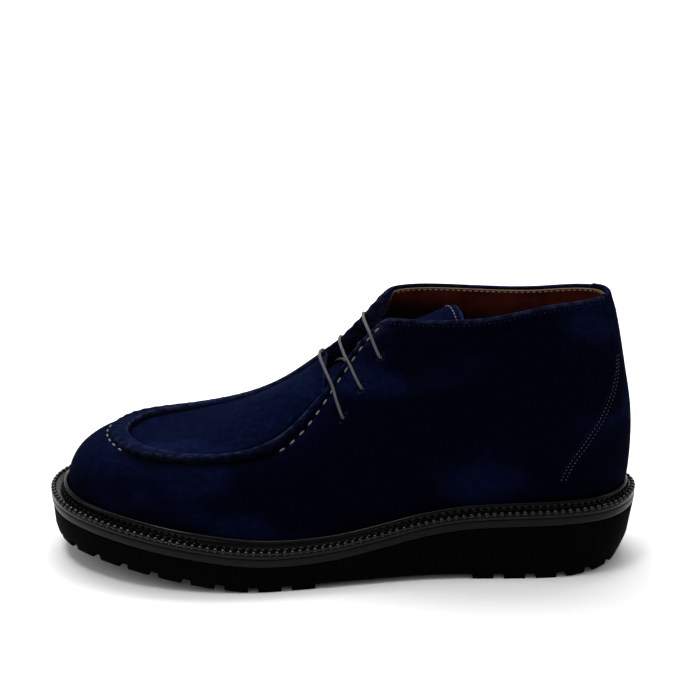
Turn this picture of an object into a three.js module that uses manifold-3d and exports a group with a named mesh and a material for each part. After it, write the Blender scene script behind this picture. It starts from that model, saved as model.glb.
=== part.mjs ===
// Left chukka boot with a raised apron seam, a storm welt all the way round and a lugged sole.
// Millimetres. +Z is up and the floor is z = 0. The toe points along -Y and the outer side of the foot is +X.
// The origin is on the floor, in the middle of the sole's length and width.
import * as THREE from "three";
import { mergeVertices } from "three/addons/utils/BufferGeometryUtils.js";
import Module from "manifold-3d";

const wasm = await Module();
wasm.setup();

// ---------------------------------------------------------------- driving sizes
const LENGTH = 305; // outsole, heel to toe
const BALL_WIDTH = 112; // outsole, across the ball of the foot
const BACK_HEIGHT = 139; // floor to the back of the collar
const FEATHER_HEIGHT = 38; // floor to the welt's top at the back of the heel

const WALL = 2.5; // suede, stiffener and lining together
const GAP = 0.3; // between pieces that touch
const WELT_THICKNESS = 3.2;
const WELT_LIP = 2.6; // height of the storm lip over the welt's top
const WELT_LIP_WIDTH = 2.4;
const MIDSOLE_THICKNESS = 4;
const INSOLE_THICKNESS = 3.5;
const COUNTER_THICKNESS = 1.3;
const TONGUE_THICKNESS = 2.6;
const LACE_DIAMETER = 2.2;

const RIDGE_HEIGHT = 2.8; // the rolled apron seam over the leather beside it
const RIDGE_HALF_WIDTH = 4.6;

const LUG_DEPTH = 2.8;
const TOE_SPRING = 12; // rise of the tread at the toe
const TOE_SPRING_START = -38; // y where the tread leaves the floor
const HEEL_BEVEL = 4; // rise of the tread at the back of the heel
const HEEL_BEVEL_START = 108;

// ---------------------------------------------------------------- the sections
// One row for each section from the back of the heel to the toe. Each section starts at the sole's edge and
// ends at the upper's top edge: the collar, then the facing, then the apron seam.
//   along, lateral, medial        sole edge: share of LENGTH from the heel, shares of BALL_WIDTH across
//   welt                          reach of the welt past the upper, mm
//   topAlong, topLateral, topMedial   the same shares for the top edge
//   highLateral, highMedial       height of the top edge, shares of BACK_HEIGHT
//   lowBulge, highBulge           how far the wall swells at a third and two thirds of its height, mm
//   crown                         rise of the apron over the straight line between its two seams, mm
const SECTIONS = `
  along  lateral medial  welt  topAlong topLateral topMedial highLateral highMedial lowBulge highBulge crown
  0.000  0.000   0.000   7.4   0.063    0.000      0.000     0.999       0.999      11.0     4.4       0
  0.030  0.204  -0.200   7.9   0.073    0.104     -0.104     0.997       0.997      10.5     4.6       0
  0.090  0.313  -0.304   8.4   0.115    0.196     -0.196     0.992       0.984       9.0     4.5       0
  0.180  0.350  -0.332   8.8   0.179    0.250     -0.250     0.980       0.966       8.0     4.0       0
  0.290  0.357  -0.320   8.6   0.264    0.266     -0.268     0.944       0.966       8.0     3.0       0
  0.375  0.378  -0.324   8.4   0.348    0.241     -0.254     0.930       0.975       8.0     4.0       0
  0.455  0.418  -0.350   8.6   0.403    0.186     -0.196     0.926       0.978       8.0     6.0       0
  0.510  0.448  -0.384   8.8   0.430    0.134     -0.130     0.906       0.956       8.0     8.0       0
  0.553  0.472  -0.414   9.0   0.462    0.110     -0.108     0.822       0.872       8.0     9.0       4
  0.597  0.494  -0.444   9.2   0.498    0.132     -0.120     0.708       0.782       8.0     9.0       5
  0.645  0.508  -0.470   9.4   0.540    0.192     -0.160     0.591       0.692       8.0     9.0       6
  0.700  0.510  -0.486   9.5   0.592    0.272     -0.220     0.501       0.600       8.0     8.5       9
  0.762  0.495  -0.487   9.5   0.661    0.322     -0.282     0.456       0.519       8.5     8.0       7
  0.836  0.446  -0.458   9.5   0.744    0.313     -0.318     0.442       0.470       9.0     8.0       2
  0.910  0.352  -0.398   9.5   0.816    0.250     -0.300     0.442       0.457      10.5     8.5      -1
  0.970  0.200  -0.284   9.5   0.868    0.118     -0.214     0.449       0.457      12.0     9.5      -1
  1.000 -0.045  -0.045   9.5   0.889   -0.045     -0.045     0.456       0.456      12.5    10.0       0
`;

// Height of the welt's top, along the foot.
const WELT_TOPS = `
  along  share
  0.000  1.000
  0.140  0.968
  0.270  0.926
  0.352  0.837
  0.430  0.700
  0.500  0.595
  0.572  0.558
  0.648  0.584
  0.746  0.689
  0.850  0.808
  0.926  0.876
  1.000  0.921
`;

const HEEL_ROW = 0;
const THROAT_ROW = 9 + 2 / 3;
const TOE_ROW = 16;
const LOOP_ROWS = 2 * TOE_ROW; // out along the lateral side and back along the medial side
const SAMPLES = 96; // round the loop
const STEP = LOOP_ROWS / SAMPLES;

// ---------------------------------------------------------------- small tools
// A table's text as one object for each row.
function readTable(text) {
  const [head, ...rows] = text.trim().split("\n").map((line) => line.trim().split(/\s+/));
  return rows.map((row) => Object.fromEntries(head.map((name, i) => [name, Number(row[i])])));
}

const sections = readTable(SECTIONS);
const weltTops = readTable(WELT_TOPS);

const yAt = (along) => LENGTH * (0.5 - along);
const alongAt = (y) => 0.5 - y / LENGTH;
const clamp01 = (v) => Math.min(1, Math.max(0, v));
const smooth = (v) => clamp01(v) ** 2 * (3 - 2 * clamp01(v));
const vec = (x, y, z) => new THREE.Vector3(x, y, z);

// A smooth closed curve of one number through every value, as a function of the row, 0 to LOOP_ROWS.
function loopSpline(values) {
  const n = values.length;
  let knots = [...values];
  for (let pass = 0; pass < 40; pass++) {
    const middle = (i) => (knots[(i + n - 1) % n] + 4 * knots[i] + knots[(i + 1) % n]) / 6;
    knots = knots.map((k, i) => k + values[i] - middle(i));
  }
  return (row) => {
    const r = ((row % n) + n) % n;
    const i = Math.floor(r);
    const u = r - i;
    const [a, b, c, d] = [-1, 0, 1, 2].map((k) => knots[(i + k + n) % n]);
    return (
      (a * (1 - u) ** 3 +
        b * (3 * u ** 3 - 6 * u ** 2 + 4) +
        c * (-3 * u ** 3 + 3 * u ** 2 + 3 * u + 1) +
        d * u ** 3) /
      6
    );
  };
}

// A column that differs from side to side, or is the same on both.
const loopColumn = (lateral, medial = lateral) =>
  loopSpline([
    ...sections.map((s) => s[lateral]),
    ...sections.slice(1, TOE_ROW).reverse().map((s) => s[medial]),
  ]);

// A smooth curve of one number over the foot's length.
function alongSpline(rows, column) {
  const curve = new THREE.SplineCurve(rows.map((r) => new THREE.Vector2(r.along, r[column])));
  const points = curve.getPoints(200);
  return (along) => {
    const a = clamp01(along);
    const i = Math.max(1, points.findIndex((p) => p.x >= a));
    const [p, q] = [points[i - 1], points[i]];
    return p.y + ((q.y - p.y) * (a - p.x)) / Math.max(q.x - p.x, 1e-9);
  };
}

// ---------------------------------------------------------------- the shape of the last
const edgeAcross = loopColumn("lateral", "medial");
const edgeAlong = loopColumn("along");
const topAcross = loopColumn("topLateral", "topMedial");
const topAlong = loopColumn("topAlong");
const topHeight = loopColumn("highLateral", "highMedial");
const weltReach = loopColumn("welt");
const lowBulge = loopColumn("lowBulge");
const highBulge = loopColumn("highBulge");
const crownRise = loopColumn("crown");
const weltShare = alongSpline(weltTops, "share");

const weltTop = (y) => FEATHER_HEIGHT * weltShare(alongAt(y));
const midsoleTop = (y) => weltTop(y) - WELT_THICKNESS - 1.5 * GAP;
const outsoleTop = (y) => midsoleTop(y) - MIDSOLE_THICKNESS - GAP;
const upperFoot = (y) => midsoleTop(y) + 1.5 * GAP;

// Height of the tread's lowest face over the floor.
function treadBottom(y) {
  const toe = clamp01((TOE_SPRING_START - y) / (LENGTH / 2 + TOE_SPRING_START));
  const heel = clamp01((y - HEEL_BEVEL_START) / (LENGTH / 2 - HEEL_BEVEL_START));
  return TOE_SPRING * Math.sin((toe * Math.PI) / 2) ** 1.3 + HEEL_BEVEL * heel ** 1.3;
}

// The sole's edge at a row, and the same edge moved inwards.
const edgePoint = (row) => vec(edgeAcross(row) * BALL_WIDTH, yAt(edgeAlong(row)), 0);
function outward(row) {
  const d = edgePoint(row + 0.05).sub(edgePoint(row - 0.05));
  return vec(-d.y, d.x, 0).normalize();
}
const inset = (row, distance) => edgePoint(row).addScaledVector(outward(row), -distance);

// Where the upper's outer face meets the sole, and its top edge.
function feather(row) {
  const p = inset(row, weltReach(row));
  return vec(p.x, p.y, upperFoot(p.y));
}
const topEdge = (row) =>
  vec(topAcross(row) * BALL_WIDTH, yAt(topAlong(row)), topHeight(row) * BACK_HEIGHT);

// The outer wall: one swelling curve from the feather line up to the top edge. up goes from 0 to 1.
function wallCurve(row) {
  const [foot, top] = [feather(row), topEdge(row)];
  const chord = top.clone().sub(foot).normalize();
  const out = outward(row);
  out.addScaledVector(chord, -out.dot(chord)).normalize();
  return new THREE.CubicBezierCurve3(
    foot,
    foot.clone().lerp(top, 1 / 3).addScaledVector(out, lowBulge(row)),
    foot.clone().lerp(top, 2 / 3).addScaledVector(out, highBulge(row)),
    top,
  );
}
const wallPoint = (row, up) => wallCurve(row).getPoint(up);

// The wall's outward normal, and the share of its height at a distance below its top edge.
function wallNormal(row, up) {
  const d = 0.02;
  const along = wallPoint(row + d, up).sub(wallPoint(row - d, up));
  const rise = wallPoint(row, Math.min(1, up + d)).sub(wallPoint(row, Math.max(0, up - d)));
  return rise.cross(along).normalize();
}
const upBelowTop = (row, distance) => 1 - distance / wallCurve(row).getLength();

// How strongly the apron seam stands up: fully round the apron, fading out along the facing.
const ridgeShare = (row) => smooth((Math.min(row, LOOP_ROWS - row) - 8) / 1.2);
const ridgeBump = (distance) =>
  RIDGE_HEIGHT * Math.cos((clamp01(distance / RIDGE_HALF_WIDTH) * Math.PI) / 2) ** 2;

// ---------------------------------------------------------------- meshes and solids
// Collects shared vertices and faces, and turns them into a geometry.
class Skin {
  constructor() {
    this.points = [];
    this.faces = [];
  }
  add(p) {
    return this.points.push(p) - 1;
  }
  face(a, b, c) {
    if (a !== b && b !== c && c !== a) this.faces.push([a, b, c]);
  }
  quad(a, b, c, d) {
    this.face(a, b, c);
    this.face(a, c, d);
  }
  // Faces between neighbouring rows of vertex numbers; closed joins each row's ends.
  grid(rows, closed) {
    for (let j = 0; j + 1 < rows.length; j++) {
      const n = rows[j].length;
      for (let i = 0; i < (closed ? n : n - 1); i++) {
        const k = (i + 1) % n;
        this.quad(rows[j][i], rows[j + 1][i], rows[j + 1][k], rows[j][k]);
      }
    }
  }
  geometry() {
    const g = new THREE.BufferGeometry();
    g.setAttribute("position", new THREE.Float32BufferAttribute(this.points.flatMap((p) => p.toArray()), 3));
    g.setIndex(this.faces.flat());
    return g;
  }
}

function solidOf(geometry) {
  const g = geometry.clone();
  g.deleteAttribute("normal");
  g.deleteAttribute("uv");
  const merged = mergeVertices(g, 1e-4);
  return new wasm.Manifold(
    new wasm.Mesh({
      numProp: 3,
      vertProperties: new Float32Array(merged.attributes.position.array),
      triVerts: new Uint32Array(merged.index.array),
    }),
  );
}

function geometryOf(solid) {
  const m = solid.getMesh();
  const g = new THREE.BufferGeometry();
  g.setAttribute("position", new THREE.BufferAttribute(new Float32Array(m.vertProperties), 3));
  g.setIndex(new THREE.BufferAttribute(new Uint32Array(m.triVerts), 1));
  return g;
}

const loopIndices = [...Array(SAMPLES).keys()];
const loopRows = loopIndices.map((i) => i * STEP);

// A closed body whose loops are stacked from the bottom up. Strips across the foot close the two ends.
function stackedBody(loops) {
  const skin = new Skin();
  const rows = loops.map((loop) => loopRows.map((row, i) => skin.add(loop(row, i))));
  skin.grid(rows, true);
  const cap = (ring, flip) => {
    for (let i = 0; i < SAMPLES / 2; i++) {
      const [a, b] = [ring[i], ring[i + 1]];
      const [c, d] = [ring[(SAMPLES - i) % SAMPLES], ring[SAMPLES - i - 1]];
      if (flip) {
        skin.face(a, c, b);
        skin.face(b, c, d);
      } else {
        skin.face(a, b, c);
        skin.face(b, d, c);
      }
    }
  };
  cap(rows[0], false);
  cap(rows.at(-1), true);
  return skin.geometry();
}

// ---------------------------------------------------------------- the sole
const lift = (p, z) => vec(p.x, p.y, z);

// How far the outsole's lower edge lies inside its upper edge: most at the back of the heel.
const undercut = (row) => 2 + 4.5 * Math.max(0, Math.cos((row / LOOP_ROWS) * 2 * Math.PI)) ** 12;

function outsoleBlank() {
  const lower = (row) => {
    const p = inset(row, undercut(row));
    return lift(p, treadBottom(p.y));
  };
  const upper = (row) => {
    const p = inset(row, 0.4);
    return lift(p, outsoleTop(p.y));
  };
  const swell = (row) => 0.2 + 0.22 * undercut(row);
  const middle = (row) => lower(row).lerp(upper(row), 0.36).addScaledVector(outward(row), swell(row));
  return stackedBody([lower, middle, upper]);
}

const FOREFOOT_LUGS = { from: 7.3, to: LOOP_ROWS - 7.3, pitch: 16.5, reach: 17 };
const HEEL_LUGS = { from: -4.05, to: 4.05, pitch: 15.5, reach: 14 };
const LUG_GROOVE = 4.4;

// The lugs round the edge, each a tapered block from outside the sole's edge inwards.
function edgeLugs({ from, to, pitch, reach }) {
  const fine = 0.02;
  const marks = [from];
  let walked = 0;
  for (let row = from; row < to; row += fine) {
    walked += edgePoint(row + fine).distanceTo(edgePoint(row));
    if (walked >= pitch * marks.length) marks.push(row + fine);
  }
  return marks.slice(0, -1).map((mark, i) => {
    const side = ((marks[i + 1] - mark) * LUG_GROOVE) / pitch / 2;
    const start = mark + side;
    const end = marks[i + 1] - side;
    const taper = (end - start) * 0.12;
    return [inset(start, -4), inset(end, -4), inset(end - taper, reach), inset(start + taper, reach)];
  });
}

// A cross-shaped lug in the middle of the tread.
function crossLug(x, y, size, arm) {
  const [s, a] = [size / 2, arm / 2];
  const corners = [
    [a, s], [a, a], [s, a], [s, -a], [a, -a], [a, -s],
    [-a, -s], [-a, -a], [-s, -a], [-s, a], [-a, a], [-a, s],
  ];
  return corners.map(([dx, dy]) => vec(x + dx, y + dy, 0));
}

const FOREFOOT_CROSSES = { columns: [-15, 17], firstY: 4, pitch: 25, count: 5, size: 19, arm: 7.5 };
const HEEL_BLOCKS = { x: 1, firstY: 88, pitch: 24, count: 2, width: 30, length: 15 };

function centreLugs() {
  const { columns, firstY, pitch, count, size, arm } = FOREFOOT_CROSSES;
  const crosses = columns.flatMap((x, column) =>
    [...Array(count).keys()].map((i) => crossLug(x, firstY - pitch * (i + column / 2), size, arm)),
  );
  const b = HEEL_BLOCKS;
  const blocks = [...Array(b.count).keys()].map((i) => {
    const y = b.firstY + b.pitch * i;
    return [[-1, -1], [1, -1], [1, 1], [-1, 1]].map(([sx, sy]) =>
      vec(b.x + (sx * b.width) / 2, y + (sy * b.length) / 2, 0),
    );
  });
  return [...crosses, ...blocks];
}

const LUG_PRISM_TOP = 60;
const FLOOR_MARGIN = 2;

function prism(corners) {
  const shape = new THREE.Shape(corners.map((p) => new THREE.Vector2(p.x, p.y)));
  const depth = LUG_PRISM_TOP + FLOOR_MARGIN;
  const g = new THREE.ExtrudeGeometry(shape, { depth, bevelEnabled: false });
  g.translate(0, 0, -FLOOR_MARGIN);
  return solidOf(g);
}

// Everything under the tread's base, drawn in the side view and run across the foot.
function underTread() {
  const reach = LENGTH / 2 + 10;
  const steps = 48;
  const ys = [...Array(steps + 1).keys()].map((i) => -reach + (2 * reach * i) / steps);
  const outline = [new THREE.Vector2(-reach, -FLOOR_MARGIN), new THREE.Vector2(reach, -FLOOR_MARGIN)];
  for (const y of ys.reverse()) outline.push(new THREE.Vector2(y, treadBottom(y) + LUG_DEPTH));
  const options = { depth: 2 * BALL_WIDTH, bevelEnabled: false };
  const g = new THREE.ExtrudeGeometry(new THREE.Shape(outline), options);
  g.translate(0, 0, -BALL_WIDTH);
  g.applyMatrix4(new THREE.Matrix4().makeBasis(vec(0, 1, 0), vec(0, 0, 1), vec(1, 0, 0)));
  return solidOf(g);
}

function outsoleGeometry() {
  let cutter = underTread();
  for (const lug of [...edgeLugs(FOREFOOT_LUGS), ...edgeLugs(HEEL_LUGS), ...centreLugs()])
    cutter = cutter.subtract(prism(lug));
  return geometryOf(solidOf(outsoleBlank()).subtract(cutter));
}

function midsoleGeometry() {
  const at = (distance, height) => (row) => {
    const p = inset(row, distance);
    return lift(p, height(p.y));
  };
  return stackedBody([
    at(0.3, (y) => midsoleTop(y) - MIDSOLE_THICKNESS),
    at(0, (y) => midsoleTop(y) - MIDSOLE_THICKNESS / 2),
    at(0.3, midsoleTop),
  ]);
}

// The point of the upper's outer face that is level with the welt's top plus a rise.
function wallAtRise(row, rise) {
  const foot = feather(row);
  const target = weltTop(foot.y) + rise;
  let [low, high] = [0, 0.5];
  for (let i = 0; i < 16; i++) {
    const middle = (low + high) / 2;
    if (wallPoint(row, middle).z < target) low = middle;
    else high = middle;
  }
  return wallPoint(row, low);
}

// The welt: a flat strip round the whole boot, with a lip turned up against the upper.
function weltGeometry() {
  const beside = (rise, distance) => (row) => {
    const p = wallAtRise(row, rise).addScaledVector(outward(row), distance);
    return lift(p, weltTop(edgePoint(row).y) + rise);
  };
  const atEdge = (distance, rise) => (row) => {
    const p = inset(row, distance);
    return lift(p, weltTop(edgePoint(row).y) + rise);
  };
  const bottomInner = (row) => {
    const p = feather(row).addScaledVector(outward(row), 2 * GAP);
    return lift(p, weltTop(edgePoint(row).y) - WELT_THICKNESS);
  };
  const section = [
    bottomInner,
    atEdge(0.4, -WELT_THICKNESS),
    atEdge(0, -WELT_THICKNESS / 2),
    atEdge(0.5, 0),
    beside(0, GAP + WELT_LIP_WIDTH + 0.8),
    beside(WELT_LIP * 0.75, GAP + WELT_LIP_WIDTH),
    beside(WELT_LIP, GAP + WELT_LIP_WIDTH / 2),
    beside(WELT_LIP * 0.8, 2 * GAP),
  ];
  const skin = new Skin();
  const rows = section.map((loop) => loopRows.map((row) => skin.add(loop(row))));
  skin.grid([...rows, rows[0]], true);
  return skin.geometry();
}

function insoleGeometry() {
  const at = (height, distance) => (row) => {
    const p = feather(row).addScaledVector(outward(row), -WALL - 2 * GAP - distance);
    return lift(p, upperFoot(p.y) + height);
  };
  return stackedBody([at(GAP, 0.3), at(INSOLE_THICKNESS - 0.6, 0.1), at(INSOLE_THICKNESS, 1)]);
}

// ---------------------------------------------------------------- the upper
const LOW_ROWS = 6; // rows of faces on the wall below the seam's rows
const SEAM_DISTANCES = [5.5, 3.6, 1.8, 0]; // rows beside the apron seam, mm
const APRON_COLUMNS = [0, 1.8, 3.6, 5.5]; // the same on the apron's side

function apronLine(row, share) {
  const [a, b] = [topEdge(row), topEdge(LOOP_ROWS - row)];
  const p = a.lerp(b, share);
  p.z += crownRise(row) * 4 * share * (1 - share);
  return p;
}

// Shares across the apron, close together beside its two seams.
function apronShares(row) {
  const width = Math.max(topEdge(row).distanceTo(topEdge(LOOP_ROWS - row)), 1);
  const side = APRON_COLUMNS.map((d) => Math.min(d / width, 0.3));
  const middle = [0.28, 0.5, 0.72].map((s) => Math.min(Math.max(s, side.at(-1) + 0.02), 0.98 - side.at(-1)));
  return [...side, ...middle, ...side.map((s) => 1 - s).reverse()];
}

function upperGeometry() {
  const base = new Skin();
  const wall = [];
  for (let j = 0; j <= LOW_ROWS + SEAM_DISTANCES.length - 1; j++) {
    wall.push(
      loopRows.map((row) => {
        const shoulder = upBelowTop(row, SEAM_DISTANCES[0]);
        const up = j < LOW_ROWS ? (shoulder * j) / LOW_ROWS : upBelowTop(row, SEAM_DISTANCES[j - LOW_ROWS]);
        return base.add(wallPoint(row, up));
      }),
    );
  }
  base.grid(wall, true);

  const top = wall.at(-1);
  const first = Math.round(THROAT_ROW / STEP);
  const apronRows = [];
  for (let i = first; i < SAMPLES / 2; i++) {
    const shares = apronShares(i * STEP);
    apronRows.push(
      shares.map((s, k) => {
        if (k === 0) return top[i];
        if (k === shares.length - 1) return top[SAMPLES - i];
        return base.add(apronLine(i * STEP, s));
      }),
    );
  }
  apronRows.push(apronRows[0].map(() => top[SAMPLES / 2]));
  base.grid(apronRows.map((r) => [...r].reverse()), false);

  // The rolled seam stands up along the mean of the two sides' normals.
  const g = base.geometry();
  g.computeVertexNormals();
  const normals = base.points.map((_, i) => vec().fromBufferAttribute(g.attributes.normal, i));
  const seam = loopIndices.filter((i) => i >= first - 4 && i <= SAMPLES - first + 4);
  const seamPoints = seam.map((i) => base.points[top[i]]);
  const raised = base.points.map((p) => {
    let nearest = 0;
    let distance = Infinity;
    seamPoints.forEach((q, k) => {
      const d = p.distanceTo(q);
      if (d < distance) [distance, nearest] = [d, k];
    });
    const i = seam[nearest];
    return p.clone().addScaledVector(normals[top[i]], ridgeBump(distance) * ridgeShare(i * STEP));
  });

  const skin = new Skin();
  skin.points = [...raised, ...base.points.map((p, i) => p.clone().addScaledVector(normals[i], -WALL))];
  const count = base.points.length;
  skin.faces = [...base.faces, ...base.faces.map(([a, b, c]) => [a + count, c + count, b + count])];
  const rim = (edge, closed) => {
    skin.grid([edge, edge.map((v) => v + count)], closed);
  };
  rim([...wall[0]].reverse(), true);
  rim([...top.slice(0, first), ...apronRows[0], ...top.slice(SAMPLES - first + 1)], true);
  return skin.geometry();
}

// ---------------------------------------------------------------- overlays and inserts
// A closed plate from a grid of points on its outer face and the directions in which it is thick.
function plate(outer, inner) {
  const skin = new Skin();
  const front = outer.map((r) => r.map((p) => skin.add(p)));
  const back = inner.map((r) => r.map((p) => skin.add(p)));
  skin.grid(front, false);
  skin.grid(back.map((r) => [...r].reverse()), false);
  const side = (a, b) => skin.grid([a, b], false);
  side(back[0], front[0]);
  side(front.at(-1), back.at(-1));
  side(back.map((r) => r.at(-1)), front.map((r) => r.at(-1)));
  side(front.map((r) => r[0]), back.map((r) => r[0]));
  return skin.geometry();
}

// Half width of the heel counter, in rows of the loop, from the welt's lip up to the collar.
const COUNTER_WIDTHS = `
  up    half
  0.07  2.80
  0.24  2.52
  0.35  2.18
  0.48  1.72
  0.60  1.32
  0.71  1.10
  0.84  1.12
  0.97  1.20
`;

function counterGeometry() {
  const rows = readTable(COUNTER_WIDTHS).map((r) => ({ along: r.up, half: r.half }));
  const half = alongSpline(rows, "half");
  const [columns, levels] = [16, 12];
  const [low, high] = [rows[0].along, rows.at(-1).along];
  const at = (distance) =>
    [...Array(levels + 1).keys()].map((j) => {
      const up = low + ((high - low) * j) / levels;
      return [...Array(columns + 1).keys()].map((i) => {
        const row = HEEL_ROW + half(up) * ((2 * i) / columns - 1);
        return wallPoint(row, up).addScaledVector(wallNormal(row, up), distance);
      });
    });
  return plate(at(2 * GAP + COUNTER_THICKNESS), at(2 * GAP));
}

// The tongue lies under the apron's end and the facings, and its free end leans back into the collar.
//   y, z        a point on its middle line
//   slope       fall towards the lateral side
//   bend        how sharply its sides turn down, 1/mm
//   half        half its width
const TONGUE = `
  y    z      slope  bend   half
  -20  86.0   0.42   0.024  12
  -12  89.5   0.42   0.026  14
  -2   95.5   0.38   0.030  15
  8    104.5  0.34   0.034  16
  17   112.0  0.28   0.034  16
  26   117.5  0.24   0.030  17
  35   121.8  0.18   0.026  18
  45   126.6  0.14   0.022  18
  56   132.0  0.10   0.018  18
`;

function tongueGeometry() {
  const rows = readTable(TONGUE);
  const columns = 10;
  const at = (depth) =>
    rows.map((r) =>
      [...Array(columns + 1).keys()].map((i) => {
        const x = r.half * (1 - (2 * i) / columns);
        const tilt = vec(r.slope + 2 * r.bend * x, -0.75, 1).normalize();
        return vec(x, r.y, r.z - r.slope * x - r.bend * x * x).addScaledVector(tilt, -depth);
      }),
    );
  return plate(at(0), at(TONGUE_THICKNESS));
}

// ---------------------------------------------------------------- the lace
// Three bars across the throat. Each side gives the eyelet, as a row and mm below the facing's edge,
// and the row where the lace crosses that edge. arch is the rise of the lace over the throat, mm.
const LACE_BARS = `
  eyelet  drop  edge  medialEyelet  medialDrop  medialEdge  arch
  7.90    39.8  9.20  8.36          32.3        9.65        6.0
  7.28    31.7  8.50  7.46          29.2        8.90        3.0
  6.56    19.4  7.50  6.70          21.6        7.82        2.0
`;
const LACE_SHARES = [0, 0.33, 0.66, 0.97]; // points on the way from the eyelet to the facing's edge

function laceGeometry(bar) {
  const stand = LACE_DIAMETER / 2 + GAP + 0.9;
  const side = (eyelet, drop, edge, turn) =>
    LACE_SHARES.map((share) => {
      const row = turn(eyelet + (edge - eyelet) * share);
      const depth = drop * (1 - share);
      const up = upBelowTop(row, depth);
      const rise = ridgeBump(depth) * ridgeShare(row);
      return wallPoint(row, up).addScaledVector(wallNormal(row, up), stand + rise);
    });
  const lateral = side(bar.eyelet, bar.drop, bar.edge, (row) => row);
  const medial = side(bar.medialEyelet, bar.medialDrop, bar.medialEdge, (row) => LOOP_ROWS - row);
  const middle = lateral.at(-1).clone().lerp(medial.at(-1), 0.5).add(vec(0, -0.6 * bar.arch, 0.8 * bar.arch));
  const path = new THREE.CatmullRomCurve3([...lateral, middle, ...medial.reverse()], false, "centripetal");
  const ring = new THREE.Shape().absarc(0, 0, LACE_DIAMETER / 2, 0, 2 * Math.PI, false);
  return new THREE.ExtrudeGeometry(ring, { steps: 18, curveSegments: 4, extrudePath: path });
}

// ---------------------------------------------------------------- assembly
const BLACK_RUBBER = { color: 0x0b0b0c, roughness: 0.75, metalness: 0 };
const BLACK_EDGE = { color: 0x16181a, roughness: 0.4, metalness: 0 };
const NAVY_SUEDE = { color: 0x0b1030, roughness: 0.95, metalness: 0 };
const BROWN_LEATHER = { color: 0x5a2814, roughness: 0.55, metalness: 0 };
const WAXED_LACE = { color: 0x2c2c2e, roughness: 0.6, metalness: 0 };

const boot = new THREE.Group();
function addPiece(name, geometry, finish) {
  const mesh = new THREE.Mesh(geometry, new THREE.MeshStandardMaterial(finish));
  mesh.name = name;
  boot.add(mesh);
}

addPiece("outsole", outsoleGeometry(), BLACK_RUBBER);
addPiece("midsole", midsoleGeometry(), BLACK_EDGE);
addPiece("welt", weltGeometry(), BLACK_EDGE);
addPiece("insole", insoleGeometry(), BROWN_LEATHER);
addPiece("upper", upperGeometry(), NAVY_SUEDE);
addPiece("heel_counter", counterGeometry(), NAVY_SUEDE);
addPiece("tongue", tongueGeometry(), NAVY_SUEDE);
readTable(LACE_BARS).forEach((bar, i) => addPiece(`lace_bar_${i + 1}`, laceGeometry(bar), WAXED_LACE));

export default boot;
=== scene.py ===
"""Looks of a left suede chukka boot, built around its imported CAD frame.

Metres. +Z is up, the toe points along -Y and the outer side of the foot is +X. The shape functions work in
millimetres, which are turned into metres where a mesh is made.
"""

import logging
import math
from dataclasses import dataclass, field
from enum import Enum
from typing import Callable, Sequence

import bmesh
import bpy
import numpy as np
from mathutils import Matrix, Vector

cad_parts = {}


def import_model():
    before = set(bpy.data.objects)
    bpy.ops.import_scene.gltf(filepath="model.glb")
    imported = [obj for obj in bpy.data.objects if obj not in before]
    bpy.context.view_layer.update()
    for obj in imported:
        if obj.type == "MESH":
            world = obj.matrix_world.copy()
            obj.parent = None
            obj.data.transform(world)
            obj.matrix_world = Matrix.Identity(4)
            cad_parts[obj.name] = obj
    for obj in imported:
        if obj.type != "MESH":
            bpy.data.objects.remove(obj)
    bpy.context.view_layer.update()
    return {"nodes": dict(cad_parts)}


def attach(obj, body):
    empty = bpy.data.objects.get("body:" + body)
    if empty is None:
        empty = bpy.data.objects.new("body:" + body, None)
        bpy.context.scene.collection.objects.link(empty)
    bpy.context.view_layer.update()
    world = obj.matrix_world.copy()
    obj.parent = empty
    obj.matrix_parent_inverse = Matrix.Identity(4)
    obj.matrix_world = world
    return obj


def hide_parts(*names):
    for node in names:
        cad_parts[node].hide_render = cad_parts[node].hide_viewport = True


MM = 0.001
PAINTED_SHADE_DEPTH = 0.92  # how far the strongest painted shade turns a surface to its shade colour
log = logging.getLogger("boot")

Array = np.ndarray
Line = Callable[[Array], Array]
Node = bpy.types.Node
Socket = bpy.types.NodeSocket
Material = bpy.types.Material
Piece = bpy.types.Object
Colour = tuple[float, float, float, float]

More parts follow.
